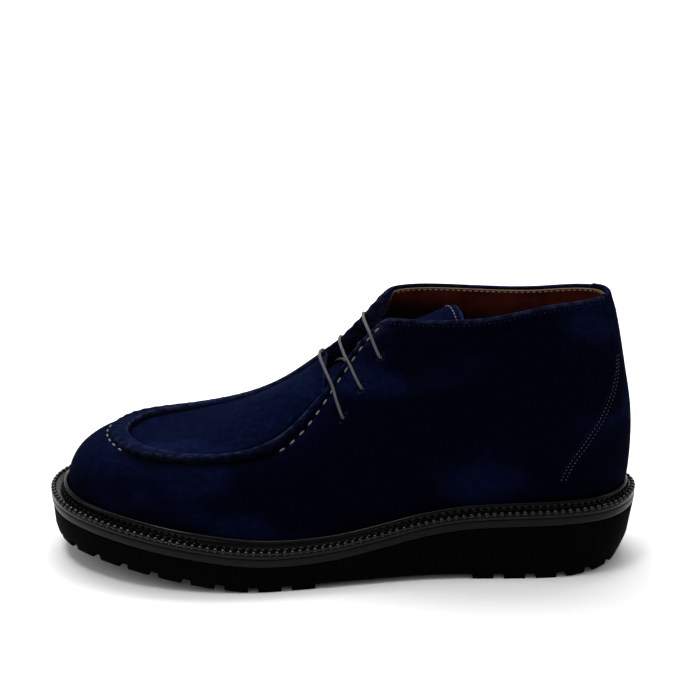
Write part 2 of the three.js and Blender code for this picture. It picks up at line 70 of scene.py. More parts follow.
# One row for each section from the back of the heel to the toe. Each section starts at the sole's edge and
# ends at the upper's top edge: the collar, then the facing, then the apron seam.
#   along, lateral, medial            sole edge: share of the length from the heel, shares of the ball width
#   welt                              reach of the welt past the upper, mm
#   top_along, top_lateral, top_medial   the same shares for the top edge
#   high_lateral, high_medial         height of the top edge, shares of the back's height
#   low_bulge, high_bulge             how far the wall swells at a third and two thirds of its height, mm
#   crown                             rise of the apron over the straight line between its two seams, mm
SECTIONS = """
along lateral medial welt top_along top_lateral top_medial high_lateral high_medial low_bulge high_bulge crown
0.000  0.000  0.000  7.4  0.063     0.000       0.000      0.999        0.999       11.0      4.4        0
0.030  0.204 -0.200  7.9  0.073     0.104      -0.104      0.997        0.997       10.5      4.6        0
0.090  0.313 -0.304  8.4  0.115     0.196      -0.196      0.992        0.984        9.0      4.5        0
0.180  0.350 -0.332  8.8  0.179     0.250      -0.250      0.980        0.966        8.0      4.0        0
0.290  0.357 -0.320  8.6  0.264     0.266      -0.268      0.944        0.966        8.0      3.0        0
0.375  0.378 -0.324  8.4  0.348     0.241      -0.254      0.930        0.975        8.0      4.0        0
0.455  0.418 -0.350  8.6  0.403     0.186      -0.196      0.926        0.978        8.0      6.0        0
0.510  0.448 -0.384  8.8  0.430     0.134      -0.130      0.906        0.956        8.0      8.0        0
0.553  0.472 -0.414  9.0  0.462     0.110      -0.108      0.822        0.872        8.0      9.0        4
0.597  0.494 -0.444  9.2  0.498     0.132      -0.120      0.708        0.782        8.0      9.0        5
0.645  0.508 -0.470  9.4  0.540     0.192      -0.160      0.591        0.692        8.0      9.0        6
0.700  0.510 -0.486  9.5  0.592     0.272      -0.220      0.501        0.600        8.0      8.5        9
0.762  0.495 -0.487  9.5  0.661     0.322      -0.282      0.456        0.519        8.5      8.0        7
0.836  0.446 -0.458  9.5  0.744     0.313      -0.318      0.442        0.470        9.0      8.0        2
0.910  0.352 -0.398  9.5  0.816     0.250      -0.300      0.442        0.457       10.5      8.5       -1
0.970  0.200 -0.284  9.5  0.868     0.118      -0.214      0.449        0.457       12.0      9.5       -1
1.000 -0.045 -0.045  9.5  0.889    -0.045      -0.045      0.456        0.456       12.5     10.0        0
"""

# Height of the welt's top along the foot, as a share of its height at the heel.
WELT_TOPS = """
along  share
0.000  1.000
0.140  0.968
0.270  0.926
0.352  0.837
0.430  0.700
0.500  0.595
0.572  0.558
0.648  0.584
0.746  0.689
0.850  0.808
0.926  0.876
1.000  0.921
"""

# Half width of the heel counter in sections of the loop, from the welt's lip up to the collar.
COUNTER_WIDTHS = """
up    half
0.07  2.80
0.24  2.52
0.35  2.18
0.48  1.72
0.60  1.32
0.71  1.10
0.84  1.12
0.97  1.20
"""

# The tongue's middle line in mm, its fall towards the lateral side, how sharply its sides turn down, and
# half its width in mm.
TONGUE = """
y    z      slope  bend   half
-20  86.0   0.42   0.024  12
-12  89.5   0.42   0.026  14
-2   95.5   0.38   0.030  15
8    104.5  0.34   0.034  16
17   112.0  0.28   0.034  16
26   117.5  0.24   0.030  17
35   120.2  0.18   0.026  18
46   124.6  0.20   0.028  18
59   131.0  0.23   0.032  18
"""

# The lace's bars. Each side gives the eyelet, as a section of the loop and mm below the facing's edge, and
# the section where the lace crosses that edge. arch is the rise of the lace over the throat, mm.
LACE_BARS = """
eyelet  drop  edge  medial_eyelet  medial_drop  medial_edge  arch
7.90    39.8  9.20  8.36           32.3         9.65         6.0
7.28    31.7  8.50  7.46           29.2         8.90         3.0
6.56    19.4  7.50  6.70           21.6         7.82         2.0
"""


# ------------ small numeric tools
def read_table(text: str) -> dict[str, Array]:
    """Read a table with named columns.

    Args:
        text: A line of names and then lines of numbers.

    Returns:
        The columns by name.
    """
    head, *rows = (line.split() for line in text.strip().splitlines())
    values = np.array(rows, float)
    return {name: values[:, i] for i, name in enumerate(head)}


def smooth(value: Array | float) -> Array:
    """Return a soft step from 0 to 1 as value goes from 0 to 1."""
    t = np.clip(value, 0, 1)
    return t * t * (3 - 2 * t)


def unit(vectors: Array) -> Array:
    """Return the vectors at length one."""
    return vectors / np.maximum(np.linalg.norm(vectors, axis=-1, keepdims=True), 1e-12)


def walked(points: Array) -> Array:
    """Return the distance along a line of points, starting at zero."""
    steps = np.linalg.norm(np.diff(points, axis=0), axis=1)
    return np.concatenate([[0], np.cumsum(steps)])


def grid_faces(ids: Array, closed: bool = False) -> list[tuple[int, ...]]:
    """Make the faces between neighbouring rows of vertex numbers.

    Args:
        ids: Vertex numbers, one row for each line of the grid.
        closed: Whether each row's end joins its start.

    Returns:
        The faces, with repeated corners dropped.
    """
    follow = np.roll(ids, -1, axis=1)
    here = slice(None) if closed else slice(None, -1)
    quads = np.stack([ids[:-1, here], ids[1:, here], follow[1:, here], follow[:-1, here]], axis=-1)
    corners = (tuple(dict.fromkeys(quad)) for quad in quads.reshape(-1, 4).tolist())
    return [face for face in corners if len(face) > 2]


def across_ids(top: Array, inside: Array, first: int) -> Array:
    """Join the apron's vertices to both sides of the wall's top loop.

    Args:
        top: Vertex numbers of the wall's top loop.
        inside: Vertex numbers of the apron between its seams, one line for each row from throat to toe.
        first: The throat's place in the loop.

    Returns:
        The vertex numbers across the apron, closed by a line that shrinks to the toe's vertex.
    """
    n = len(top)
    left, right = top[first : n // 2], top[n - np.arange(first, n // 2)]
    across = np.concatenate([left[:, None], inside, right[:, None]], axis=1)
    return np.concatenate([across, np.full((1, across.shape[1]), top[n // 2])])


class LoopCurve:
    """A smooth closed curve of one number through evenly spaced values."""

    def __init__(self, values: Sequence[float]) -> None:
        """Solve for the curve's knots.

        Args:
            values: The curve's value at each whole row.
        """
        n = len(values)
        one = np.eye(n)
        spread = (4 * one + np.roll(one, 1, 0) + np.roll(one, -1, 0)) / 6
        self.knots = np.linalg.solve(spread, np.array(values))

    def __call__(self, row: Array) -> Array:
        """Return the curve's value at each row.

        Args:
            row: Places on the loop.

        Returns:
            The values.
        """
        n = len(self.knots)
        r = np.mod(row, n)
        i = np.floor(r).astype(int)
        u = r - i
        a, b, c, d = (self.knots[(i + k) % n] for k in (-1, 0, 1, 2))
        low = a * (1 - u) ** 3 + b * (3 * u**3 - 6 * u**2 + 4)
        return (low + c * (-3 * u**3 + 3 * u**2 + 3 * u + 1) + d * u**3) / 6


class AlongCurve:
    """A smooth open curve of one number through the rows of a table."""

    def __init__(self, x: Array, y: Array, steps: int = 400) -> None:
        """Sample the curve finely.

        Args:
            x: The table's places.
            y: The table's values.
            steps: How finely the curve is sampled.
        """
        points = np.stack([x, y], axis=1)
        last = len(points) - 1
        t = np.linspace(0, last, steps + 1)
        i = np.minimum(np.floor(t).astype(int), last - 1)
        u = (t - i)[:, None]
        p0, p1, p2, p3 = (points[np.clip(i + k, 0, last)] for k in (-1, 0, 1, 2))
        v0, v1 = (p2 - p0) / 2, (p3 - p1) / 2
        samples = (2 * p1 - 2 * p2 + v0 + v1) * u**3 + (-3 * p1 + 3 * p2 - 2 * v0 - v1) * u**2 + v0 * u + p1
        self.x, self.y = samples[:, 0], samples[:, 1]

    def __call__(self, x: Array) -> Array:
        """Return the curve's value at each x."""
        return np.interp(x, self.x, self.y)


# ------------ the boot's shape
@dataclass
class Last:
    """The boot's own shape, in millimetres: the sole's outline, the wall and the apron.

    A row, or section of the loop, counts from the heel along the lateral side to the toe and back along the
    medial side. Each row's wall is one curve from the sole up to the top edge.
    """

    length: float = 305
    ball_width: float = 112
    back_height: float = 139
    feather_height: float = 38
    welt_thickness: float = 3.2
    midsole_thickness: float = 4
    gap: float = 0.3
    throat: float = 9 + 2 / 3
    rows: int = 32
    toe: int = 16
    curves: dict[str, LoopCurve] = field(init=False)
    welt_share: AlongCurve = field(init=False)
    lengths: Array = field(init=False)

    def __post_init__(self) -> None:
        """Turn the tables into curves."""
        table = read_table(SECTIONS)
        pairs = {"x": ("lateral", "medial"), "top_x": ("top_lateral", "top_medial")}
        pairs |= {"high": ("high_lateral", "high_medial")}
        shared = ("along", "top_along", "welt", "low_bulge", "high_bulge", "crown")
        pairs |= {name: (name, name) for name in shared}
        self.curves = {
            name: LoopCurve(np.concatenate([table[out], table[back][1:-1][::-1]]))
            for name, (out, back) in pairs.items()
        }
        tops = read_table(WELT_TOPS)
        self.welt_share = AlongCurve(tops["along"], tops["share"])
        fine = np.linspace(0, self.rows, 641)
        lines = self.wall(fine[:, None], np.linspace(0, 1, 60)[None, :])
        self.lengths = np.linalg.norm(np.diff(lines, axis=1), axis=2).sum(axis=1)

    def welt_top(self, y: Array) -> Array:
        """Return the height of the welt's top at y."""
        return self.feather_height * self.welt_share(0.5 - y / self.length)

    def midsole_top(self, y: Array) -> Array:
        """Return the height of the midsole's top at y."""
        return self.welt_top(y) - self.welt_thickness - 1.5 * self.gap

    def upper_foot(self, y: Array) -> Array:
        """Return the height at which the upper starts at y."""
        return self.midsole_top(y) + 1.5 * self.gap

    def edge(self, row: Array) -> Array:
        """Return the sole's edge at each row, flat on the floor."""
        x, y = self.curves["x"](row) * self.ball_width, self.length * (0.5 - self.curves["along"](row))
        return np.stack([x, y, np.zeros_like(x)], axis=-1)

    def outward(self, row: Array) -> Array:
        """Return the level direction out of the sole's edge at each row."""
        d = self.edge(np.asarray(row) + 0.05) - self.edge(np.asarray(row) - 0.05)
        return unit(np.stack([-d[..., 1], d[..., 0], 0 * d[..., 0]], axis=-1))

    def inset(self, row: Array, distance: Array | float) -> Array:
        """Return the sole's edge moved inwards."""
        return self.edge(row) - self.outward(row) * np.asarray(distance)[..., None]

    def feather(self, row: Array) -> Array:
        """Return where the upper's outer face meets the sole.

        Args:
            row: Section of the loop.

        Returns:
            The points.
        """
        p = self.inset(row, self.curves["welt"](row))
        p[..., 2] = self.upper_foot(p[..., 1])
        return p

    def top(self, row: Array) -> Array:
        """Return the wall's top edge.

        Args:
            row: Section of the loop.

        Returns:
            The points.
        """
        x = self.curves["top_x"](row) * self.ball_width
        y = self.length * (0.5 - self.curves["top_along"](row))
        return np.stack([x, y, self.curves["high"](row) * self.back_height], axis=-1)

    def wall(self, row: Array, up: Array) -> Array:
        """Return points of the wall.

        Args:
            row: Section of the loop.
            up: Share of the wall's curve.

        Returns:
            The points, with the two arguments' common shape.
        """
        row, up = np.broadcast_arrays(np.asarray(row, float), np.asarray(up, float))
        foot, top = self.feather(row), self.top(row)
        chord = unit(top - foot)
        out = self.outward(row)
        out = unit(out - chord * np.sum(out * chord, axis=-1, keepdims=True))
        first = foot + (top - foot) / 3 + out * self.curves["low_bulge"](row)[..., None]
        second = foot + (top - foot) * 2 / 3 + out * self.curves["high_bulge"](row)[..., None]
        u = up[..., None]
        return foot * (1 - u) ** 3 + first * 3 * u * (1 - u) ** 2 + second * 3 * u**2 * (1 - u) + top * u**3

    def normal(self, row: Array, up: Array) -> Array:
        """Return the wall's outward direction.

        Args:
            row: Section of the loop.
            up: Share of the wall's curve.

        Returns:
            The directions.
        """
        d = 0.02
        along = self.wall(row + d, up) - self.wall(row - d, up)
        return unit(np.cross(self.rise(row, up), along))

    def rise(self, row: Array, up: Array) -> Array:
        """Return the direction up along the wall."""
        d = 0.02
        return unit(self.wall(row, np.minimum(1, up + d)) - self.wall(row, np.maximum(0, up - d)))

    def length_at(self, row: Array) -> Array:
        """Return the length of the wall's curve at each row."""
        return np.interp(np.mod(row, self.rows), np.linspace(0, self.rows, len(self.lengths)), self.lengths)

    def up_at(self, row: Array, drop: Array) -> Array:
        """Return the share of the wall's curve at a distance below its top edge."""
        return 1 - np.asarray(drop) / self.length_at(row)

    def drop_at(self, row: Array, up: Array) -> Array:
        """Return the distance below the top edge at a share of the wall's curve."""
        return (1 - np.asarray(up)) * self.length_at(row)

    def slant(self, row: Array) -> Array:
        """Return the part of a drop that leads straight away from the top edge.

        Args:
            row: Section of the loop.

        Returns:
            The part, 1 where the sections stand square to the edge.
        """
        row = np.asarray(row, float)
        along = unit(self.top(row + 0.05) - self.top(row - 0.05))
        rise = self.rise(row, np.ones_like(row))
        return np.sqrt(1 - np.sum(along * rise, axis=-1) ** 2)

    def from_heel(self, row: Array) -> Array:
        """Return the section counted from the heel, the same on both sides."""
        r = np.mod(row, self.rows)
        return np.minimum(r, self.rows - r)

    def apron(self, row: Array, share: Array) -> Array:
        """Return points of the apron, from its lateral seam to its medial seam.

        Args:
            row: Section between the throat and the toe.
            share: Share of the way from the lateral seam to the medial seam.

        Returns:
            The points.
        """
        row, share = np.broadcast_arrays(np.asarray(row, float), np.asarray(share, float))
        s = share[..., None]
        p = self.top(row) * (1 - s) + self.top(self.rows - row) * s
        p[..., 2] += self.curves["crown"](row) * 4 * share * (1 - share)
        return p

    def apron_normal(self, row: Array, share: Array) -> Array:
        """Return the apron's upward direction.

        Args:
            row: Section between the throat and the toe.
            share: Share of the way from the lateral seam to the medial seam.

        Returns:
            The directions.
        """
        d = 0.02
        row = np.minimum(row, self.toe - 0.1)
        share = np.clip(share, 0.04, 0.96)
        along = self.apron(row + d, share) - self.apron(row - d, share)
        across = self.apron(row, share + d) - self.apron(row, share - d)
        return unit(np.cross(across, along))

    def seam_normal(self, row: Array) -> Array:
        """Return the direction in which the rolled seam stands up.

        Args:
            row: Section of the loop.

        Returns:
            The directions.
        """
        wall = self.normal(row, np.ones_like(row))
        r = self.from_heel(row)
        lateral = np.mod(row, self.rows) <= self.toe
        over = self.apron_normal(np.maximum(r, self.throat), np.where(lateral, 0.0, 1.0))
        weight = smooth((r - self.throat + 0.8) / 0.8)[..., None]
        return unit(wall + over * weight)


# ------------ meshes
def link(name: str, data: bpy.types.ID) -> Piece:
    """Put a mesh, a light or a camera in the scene and return its object.

    Args:
        name: The object's name.
        data: Its mesh, light or camera data.

    Returns:
        The object.
    """
    obj = bpy.data.objects.new(name, data)
    bpy.context.scene.collection.objects.link(obj)
    return obj


def new_mesh(
    name: str,
    points: Array,
    faces: Sequence[Sequence[int]],
    material: Material | None = None,
    values: dict[str, Array] | None = None,
) -> Piece:
    """Make a smooth mesh object from points in millimetres.

    Args:
        name: The object's name.
        points: Vertices, in millimetres.
        faces: Vertex numbers of each face.
        material: The finish.
        values: Numbers for each vertex, stored as named attributes.

    Returns:
        The object, at the origin.
    """
    mesh = bpy.data.meshes.new(name)
    mesh.from_pydata((np.asarray(points).reshape(-1, 3) * MM).tolist(), [], faces)
    mesh.update()
    mesh.shade_smooth()
    for key, numbers in (values or {}).items():
        layer = mesh.attributes.new(key, "FLOAT", "POINT")
        layer.data.foreach_set("value", np.asarray(numbers, np.float32).ravel())
    if material:
        mesh.materials.append(material)
    return link(name, mesh)


def place(obj: Piece, slot: str, *nodes: str) -> Piece:
    """Let a finished piece ride on the boot.

    Args:
        obj: The piece.
        slot: Name of the piece's material slot; not used.
        nodes: CAD nodes that the piece stands for.

    Returns:
        The piece.
    """
    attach(obj, "root")
    if nodes:
        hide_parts(*nodes)
    log.info("%s: %d faces", obj.name, len(obj.data.polygons))
    return obj


def plate(name: str, outer: Array, inner: Array, material: Material, crest: Array) -> Piece:
    """Make a closed plate from the two grids of its faces.

    Args:
        name: The object's name.
        outer: Grid of points on the outer face.
        inner: Grid of points on the inner face, of the same shape.
        material: The finish.
        crest: How pale each vertex of either grid is painted, as highlight and wear.

    Returns:
        The plate.
    """
    rows, columns = outer.shape[:2]
    front = np.arange(rows * columns).reshape(rows, columns)
    back = front + rows * columns
    faces = grid_faces(front) + grid_faces(back[:, ::-1])
    ends = ((back[0], front[0]), (front[-1], back[-1]))
    for side in (*ends, (back[:, -1], front[:, -1]), (front[:, 0], back[:, 0])):
        faces += grid_faces(np.stack(side))
    points = np.concatenate([outer.reshape(-1, 3), inner.reshape(-1, 3)])
    return new_mesh(name, points, faces, material, {"crest": np.tile(crest.ravel(), 2)})


def ring_body(name: str, loops: Array, material: Material, closed_section: bool
) -> Piece:
    """Make a body from loops round the boot.

    Args:
        name: The object's name.
        loops: Points with one row for each loop.
        material: The finish.
        closed_section: Whether the last loop joins the first. If not, strips across the foot close them.

    Returns:
        The body.
    """
    count, n = loops.shape[:2]
    ids = np.arange(count * n).reshape(count, n)
    if closed_section:
        faces = grid_faces(np.concatenate([ids, ids[:1]]), closed=True)
    else:
        half = np.arange(n // 2 + 1)
        across = np.stack([half, (n - half) % n])
        faces = grid_faces(ids, closed=True) + grid_faces(across[::-1]) + grid_faces(across + (count - 1) * n)
    return new_mesh(name, loops, faces, material)


def tube(name: str, path: Array, radius: float, sides: int, material: Material
) -> Piece:
    """Make a round cord along a path, with a UV map that runs round and along it.

    Args:
        name: The object's name.
        path: Points along the cord, in millimetres.
        radius: Half its thickness, in millimetres.
        sides: Faces round it.
        material: The finish.

    Returns:
        The cord, closed at both ends.
    """
    tangents = unit(np.gradient(path, axis=0))
    side = unit(np.cross(tangents[0], [0.3, 0.1, 1.0]))
    frames = []
    for t in tangents:
        side = unit(side - t * np.dot(side, t))
        frames.append((side, np.cross(t, side)))
    angles = np.linspace(0, 2 * math.pi, sides, endpoint=False)
    circle = [(radius * math.cos(a), radius * math.sin(a)) for a in angles]
    rings = np.array([[p + c * s + d * u for c, d in circle] for p, (s, u) in zip(path, frames)])
    n = len(path)
    ids = np.arange(n * sides).reshape(n, sides)
    faces = grid_faces(ids[:, ::-1], closed=True) + [tuple(ids[0][::-1]), tuple(ids[-1])]
    obj = new_mesh(name, rings, faces, material)
    uv = obj.data.uv_layers.new(name="UVMap")
    lengths = walked(path)
    for poly in obj.data.polygons:
        sides_used = [obj.data.loops[i].vertex_index % sides for i in poly.loop_indices]
        wraps = max(sides_used) - min(sides_used) > sides // 2
        for i in poly.loop_indices:
            ring, k = divmod(obj.data.loops[i].vertex_index, sides)
            turn = (k + sides if wraps and k == 0 else k) / sides
            uv.data[i].uv = (turn, lengths[ring] / (2 * math.pi * radius))
    return obj


# ------------ shader tools
class Graph:
    """A short way to write a node tree."""

    def __init__(self, tree: bpy.types.NodeTree) -> None:
        """Start on an empty or new tree."""
        self.tree = tree

    def add(
        self, kind: str, inputs: dict[str | int, object] | None = None, **settings: object
    ) -> Node:
        """Add a node.

        Args:
            kind: The node's type name.
            inputs: Values or sockets for its inputs, by name or number.
            settings: Properties of the node.

        Returns:
            The node.
        """
        node = self.tree.nodes.new(kind)
        for key, value in settings.items():
            setattr(node, key, value)
        for key, value in (inputs or {}).items():
            if isinstance(value, Socket):
                self.tree.links.new(value, node.inputs[key])
            else:
                node.inputs[key].default_value = value
        return node

    def math(self, operation: str, *values: object) -> Socket:
        """Add a Math node and return its output."""
        return self.add("ShaderNodeMath", dict(enumerate(values)), operation=operation).outputs[0]

    def times(self, *values: object) -> Socket:
        """Multiply two numbers."""
        return self.math("MULTIPLY", *values)

    def plus(self, *values: object) -> Socket:
        """Add two numbers."""
        return self.math("ADD", *values)

    def ramp(self, value: Socket, low: float, high: float, to: tuple[float, float] = (0, 1)) -> Socket:
        """Map a value softly from one range to another, held inside it."""
        inputs = {"Value": value, "From Min": low, "From Max": high, "To Min": to[0], "To Max": to[1]}
        return self.add("ShaderNodeMapRange", inputs, interpolation_type="SMOOTHSTEP").outputs[0]

    def mix(self, factor: object, one: object, two: object) -> Socket:
        """Mix two colours."""
        return self.add("ShaderNodeMix", {0: factor, 6: one, 7: two}, data_type="RGBA").outputs[2]

    def mix_value(self, factor: object, one: object, two: object) -> Socket:
        """Mix two numbers."""
        return self.plus(self.times(self.math("SUBTRACT", two, one), factor), one)

    def noise(self, where: Socket, scale: float, detail: float = 3, rough: float = 0.5) -> Socket:
        """Add a noise texture and return its number."""
        inputs = {"Vector": where, "Scale": scale, "Detail": detail, "Roughness": rough}
        return self.add("ShaderNodeTexNoise", inputs).outputs[0]

    def attribute(self, name: str) -> Socket:
        """Read a number stored on the mesh."""
        return self.add("ShaderNodeAttribute", attribute_name=name).outputs["Fac"]


def shader_group(
    name: str, inputs: dict[str, float], outputs: Sequence[str], fill: Callable[[Graph, dict], dict]
) -> bpy.types.NodeTree:
    """Build a shader node group.

    Args:
        name: The group's name.
        inputs: Number inputs with their defaults. Every group also has a Where input, the place on the piece.
        outputs: Names of its number outputs.
        fill: Adds the nodes, and returns the socket for each output.

    Returns:
        The group.
    """
    tree = bpy.data.node_groups.new(name, "ShaderNodeTree")
    tree.interface.new_socket("Where", in_out="INPUT", socket_type="NodeSocketVector")
    for key, value in inputs.items():
        tree.interface.new_socket(key, in_out="INPUT", socket_type="NodeSocketFloat").default_value = value
    for key in outputs:
        tree.interface.new_socket(key, in_out="OUTPUT", socket_type="NodeSocketFloat")
    graph = Graph(tree)
    start = tree.nodes.new("NodeGroupInput")
    end = tree.nodes.new("NodeGroupOutput")
    found = fill(graph, {s.name: s for s in start.outputs if s.name})
    for key, socket in found.items():
        tree.links.new(socket, end.inputs[key])
    return tree


def fill_nap(g: Graph, at: dict) -> dict:
    """Brushed suede: a few broad brushed patches, small clumps of nap and single fibres.

    Args:
        g: The group's graph.
        at: The group's input sockets by name.

    Returns:
        The output sockets by name.
    """
    brush = {"Vector": at["Where"], "Rotation": (0.3, 0.2, 0.5), "Scale": (1, 0.7, 1.2)}
    where = g.add("ShaderNodeMapping", brush).outputs[0]
    patches = g.noise(where, 24.0, 2, 0.45)
    clumps = g.noise(where, 330.0, 4, 0.7)
    fibres = g.noise(at["Where"], 1500.0, 3, 0.75)
    broad = g.ramp(patches, 0.50, 0.70)
    small = g.ramp(clumps, 0.38, 0.68)
    speckle = g.times(g.math("SUBTRACT", fibres, 0.5), at["Fibre"])
    tone = g.times(broad, g.plus(0.55, g.times(small, 0.45)))
    height = g.plus(g.times(clumps, 0.5), g.times(fibres, 0.8))
    return {"Broad": tone, "Clumps": g.plus(small, speckle), "Height": height}


def fill_grain(g: Graph, at: dict) -> dict:
    """Smooth leather: small cells between fine creases, and slow changes of colour.

    Args:
        g: The group's graph.
        at: The group's input sockets by name.

    Returns:
        The output sockets by name.
    """
    cells = g.add("ShaderNodeTexVoronoi", {"Vector": at["Where"], "Scale": 900.0}).outputs["Distance"]
    cloud = g.noise(at["Where"], 60.0, 4, 0.6)
    fine = g.noise(at["Where"], 2200.0, 2, 0.6)
    height = g.plus(g.ramp(cells, 0.05, 0.6), g.times(fine, 0.4))
    return {"Tone": g.ramp(cloud, 0.3, 0.7), "Height": height}


def fill_rubber(g: Graph, at: dict) -> dict:
    """Moulded rubber: a fine even stipple, and faint pale dust in slow patches.

    Args:
        g: The group's graph.
        at: The group's input sockets by name.

    Returns:
        The output sockets by name.
    """
    stipple = g.noise(at["Where"], 1800.0, 2, 0.6)
    cloud = g.noise(at["Where"], 70.0, 5, 0.65)
    dust = g.times(g.ramp(cloud, 0.45, 0.75), at["Dust"])
    return {"Dust": dust, "Height": stipple}


class Effect(Enum):
    """Effects that several finishes share, each a shader node group."""

    NAP = "Suede nap"
    GRAIN = "Leather grain"
    RUBBER = "Rubber stipple"


class Effects:
    """The shared shader node groups, each built once."""

    def __init__(self) -> None:
        """Build the groups."""
        recipes = {
            Effect.NAP: ({"Fibre": 0.5}, ("Broad", "Clumps", "Height"), fill_nap),
            Effect.GRAIN: ({}, ("Tone", "Height"), fill_grain),
            Effect.RUBBER: ({"Dust": 0.3}, ("Dust", "Height"), fill_rubber),
        }
        self.trees = {effect: shader_group(effect.value, *recipe) for effect, recipe in recipes.items()}

    def add(self, graph: Graph, effect: Effect, where: Socket, **values: float) -> Node:
        """Place an effect in a material.

        Args:
            graph: The material's graph.
            effect: The effect.
            where: The place on the piece.
            values: Numbers for the effect's inputs.

        Returns:
            The group's node.
        """
        node = graph.tree.nodes.new("ShaderNodeGroup")
        node.node_tree = self.trees[effect]
        graph.tree.links.new(where, node.inputs["Where"])
        for key, value in values.items():
            node.inputs[key].default_value = value
        return node


def rgb(red: float, green: float, blue: float) -> Colour:
    """Return an opaque colour."""
    return (red, green, blue, 1.0)


def start_material(name: str, **constants: object) -> tuple[Graph, Node, Socket]:
    """Start a material with a Principled BSDF.

    Args:
        name: The material's name.
        constants: Values for the shader's sockets, with spaces written as underscores.

    Returns:
        The graph, the shader node and the place on the piece.
    """
    material = bpy.data.materials.new(name)
    material.use_nodes = True
    graph = Graph(material.node_tree)
    shader = material.node_tree.nodes["Principled BSDF"]
    for key, value in constants.items():
        shader.inputs[key.replace("_", " ")].default_value = value
    where = graph.add("ShaderNodeTexCoord").outputs["Object"]
    return graph, shader, where


def add_bump(graph: Graph, shader: Node, height: object, strength: float, distance: float) -> None:
    """Let a height field shade the surface."""
    bump = graph.add("ShaderNodeBump", {"Strength": strength, "Distance": distance, "Height": height})
    graph.tree.links.new(bump.outputs[0], shader.inputs["Normal"])


@dataclass(frozen=True)
class Suede:
    """Brushed suede in patches of nap, with painted light on upward faces, painted highlight and wear on
    edges and painted shade by the seams.
    """

    name: str = "navy suede"
    # shade and lit: the nap's dark and pale tones; faces that look up lean to lit, which is painted light
    # from above
    shade: Colour = rgb(0.0004, 0.0005, 0.0032)
    lit: Colour = rgb(0.0038, 0.0078, 0.036)
    # painted highlight and wear: the pale colour of crests and rubbed edges
    highlight_and_wear: Colour = rgb(0.019, 0.025, 0.060)
    # painted shade: the colour where shade is painted beside the seams
    seam: Colour = rgb(0.0004, 0.0004, 0.0012)
    fibre: float = 0.9
    bump: float = 0.5

    def build(self, effects: Effects) -> Material:
        """Make the material.

        Args:
            effects: The shared effects.

        Returns:
            The material.
        """
        g, shader, where = start_material(
            self.name,
            Roughness=1.0,
            Specular_IOR_Level=0.005,
            Sheen_Weight=0.008,
            Sheen_Roughness=0.5,
            Sheen_Tint=rgb(0.25, 0.4, 1.0),
        )
        nap = effects.add(g, Effect.NAP, where, Fibre=self.fibre)
        normal = g.add("ShaderNodeTexCoord").outputs["Normal"]
        # Painted light from above: faces that look up take more of the lit colour, steep sides stay near the
        # shade colour.
        flat = g.ramp(g.add("ShaderNodeSeparateXYZ", {0: normal}).outputs["Z"], 0.30, 0.95)
        broad, clumps = nap.outputs["Broad"], nap.outputs["Clumps"]
        shaded_side_tone = g.plus(g.times(broad, 0.46), g.times(clumps, 0.05))
        level = g.plus(g.times(broad, 0.50), g.times(clumps, 0.26))
        tone = g.mix_value(flat, shaded_side_tone, g.plus(level, 0.20))
        colour = g.mix(tone, self.shade, self.lit)
        # Painted shade beside the seams and in the sunk stitch groove, read from the mesh.
        colour = g.mix(g.times(g.attribute("hollow"), PAINTED_SHADE_DEPTH), colour, self.seam)
        # Painted highlight and wear on crests, folded edges and hole rims, from the crest attribute.
        highlight_and_wear = g.times(g.attribute("crest"), g.ramp(clumps, -0.1, 0.95, (0.22, 1.25)))
        colour = g.mix(highlight_and_wear, colour, self.highlight_and_wear)
        g.tree.links.new(colour, shader.inputs["Base Color"])
        add_bump(g, shader, nap.outputs["Height"], self.bump, 0.0006)
        return bpy.data.materials[self.name]


@dataclass(frozen=True)
class Leather:
    """Smooth aniline leather, with a paler raw edge and painted shade deep inside the boot."""

    name: str
    dark: Colour
    light: Colour
    roughness: float = 0.5
    raw: Colour = rgb(0.20, 0.115, 0.06)
    # painted shade: the colour deep inside the boot, where shade falls
    deep: Colour = rgb(0.0012, 0.0006, 0.0005)

    def build(self, effects: Effects) -> Material:
        """Make the material.

        Args:
            effects: The shared effects.

        Returns:
            The material.
        """
        g, shader, where = start_material(self.name, Roughness=self.roughness, Specular_IOR_Level=0.12)
        grain = effects.add(g, Effect.GRAIN, where)
        colour = g.mix(grain.outputs["Tone"], self.dark, self.light)
        # Painted shade deep inside the boot, read from the mesh.
        colour = g.mix(g.times(g.attribute("hollow"), PAINTED_SHADE_DEPTH), colour, self.deep)
        g.tree.links.new(g.mix(g.attribute("crest"), colour, self.raw), shader.inputs["Base Color"])
        add_bump(g, shader, grain.outputs["Height"], 0.35, 0.0002)
        return bpy.data.materials[self.name]


@dataclass(frozen=True)
class Rubber:
    """Moulded rubber, matt or satin."""

    name: str
    colour: Colour
    dusty: Colour
    roughness: float
    gloss: float
    dust: float
    stipple: float

    def build(self, effects: Effects) -> Material:
        """Make the material.

        Args:
            effects: The shared effects.

        Returns:
            The material.
        """
        g, shader, where = start_material(self.name, Specular_IOR_Level=self.gloss)
        skin = effects.add(g, Effect.RUBBER, where, Dust=self.dust)
        g.tree.links.new(g.mix(skin.outputs["Dust"], self.colour, self.dusty), shader.inputs["Base Color"])
        rough = g.plus(g.times(skin.outputs["Dust"], 0.3), self.roughness)
        g.tree.links.new(rough, shader.inputs["Roughness"])
        add_bump(g, shader, skin.outputs["Height"], self.stipple, 0.0002)
        return bpy.data.materials[self.name]


@dataclass(frozen=True)
class Thread:
    """Twisted sewing thread."""

    name: str
    colour: Colour
    shade: Colour
    gloss: float = 0.3

    def build(self, effects: Effects) -> Material:
        """Make the material.

        Args:
            effects: The shared effects.

        Returns:
            The material.
        """
        g, shader, where = start_material(self.name, Roughness=0.7, Specular_IOR_Level=self.gloss)
        strands = g.noise(where, 1400.0, 2, 0.7)
        colour = g.mix(g.ramp(strands, 0.3, 0.7), self.shade, self.colour)
        g.tree.links.new(colour, shader.inputs["Base Color"])
        add_bump(g, shader, strands, 0.5, 0.0002)
        return bpy.data.materials[self.name]


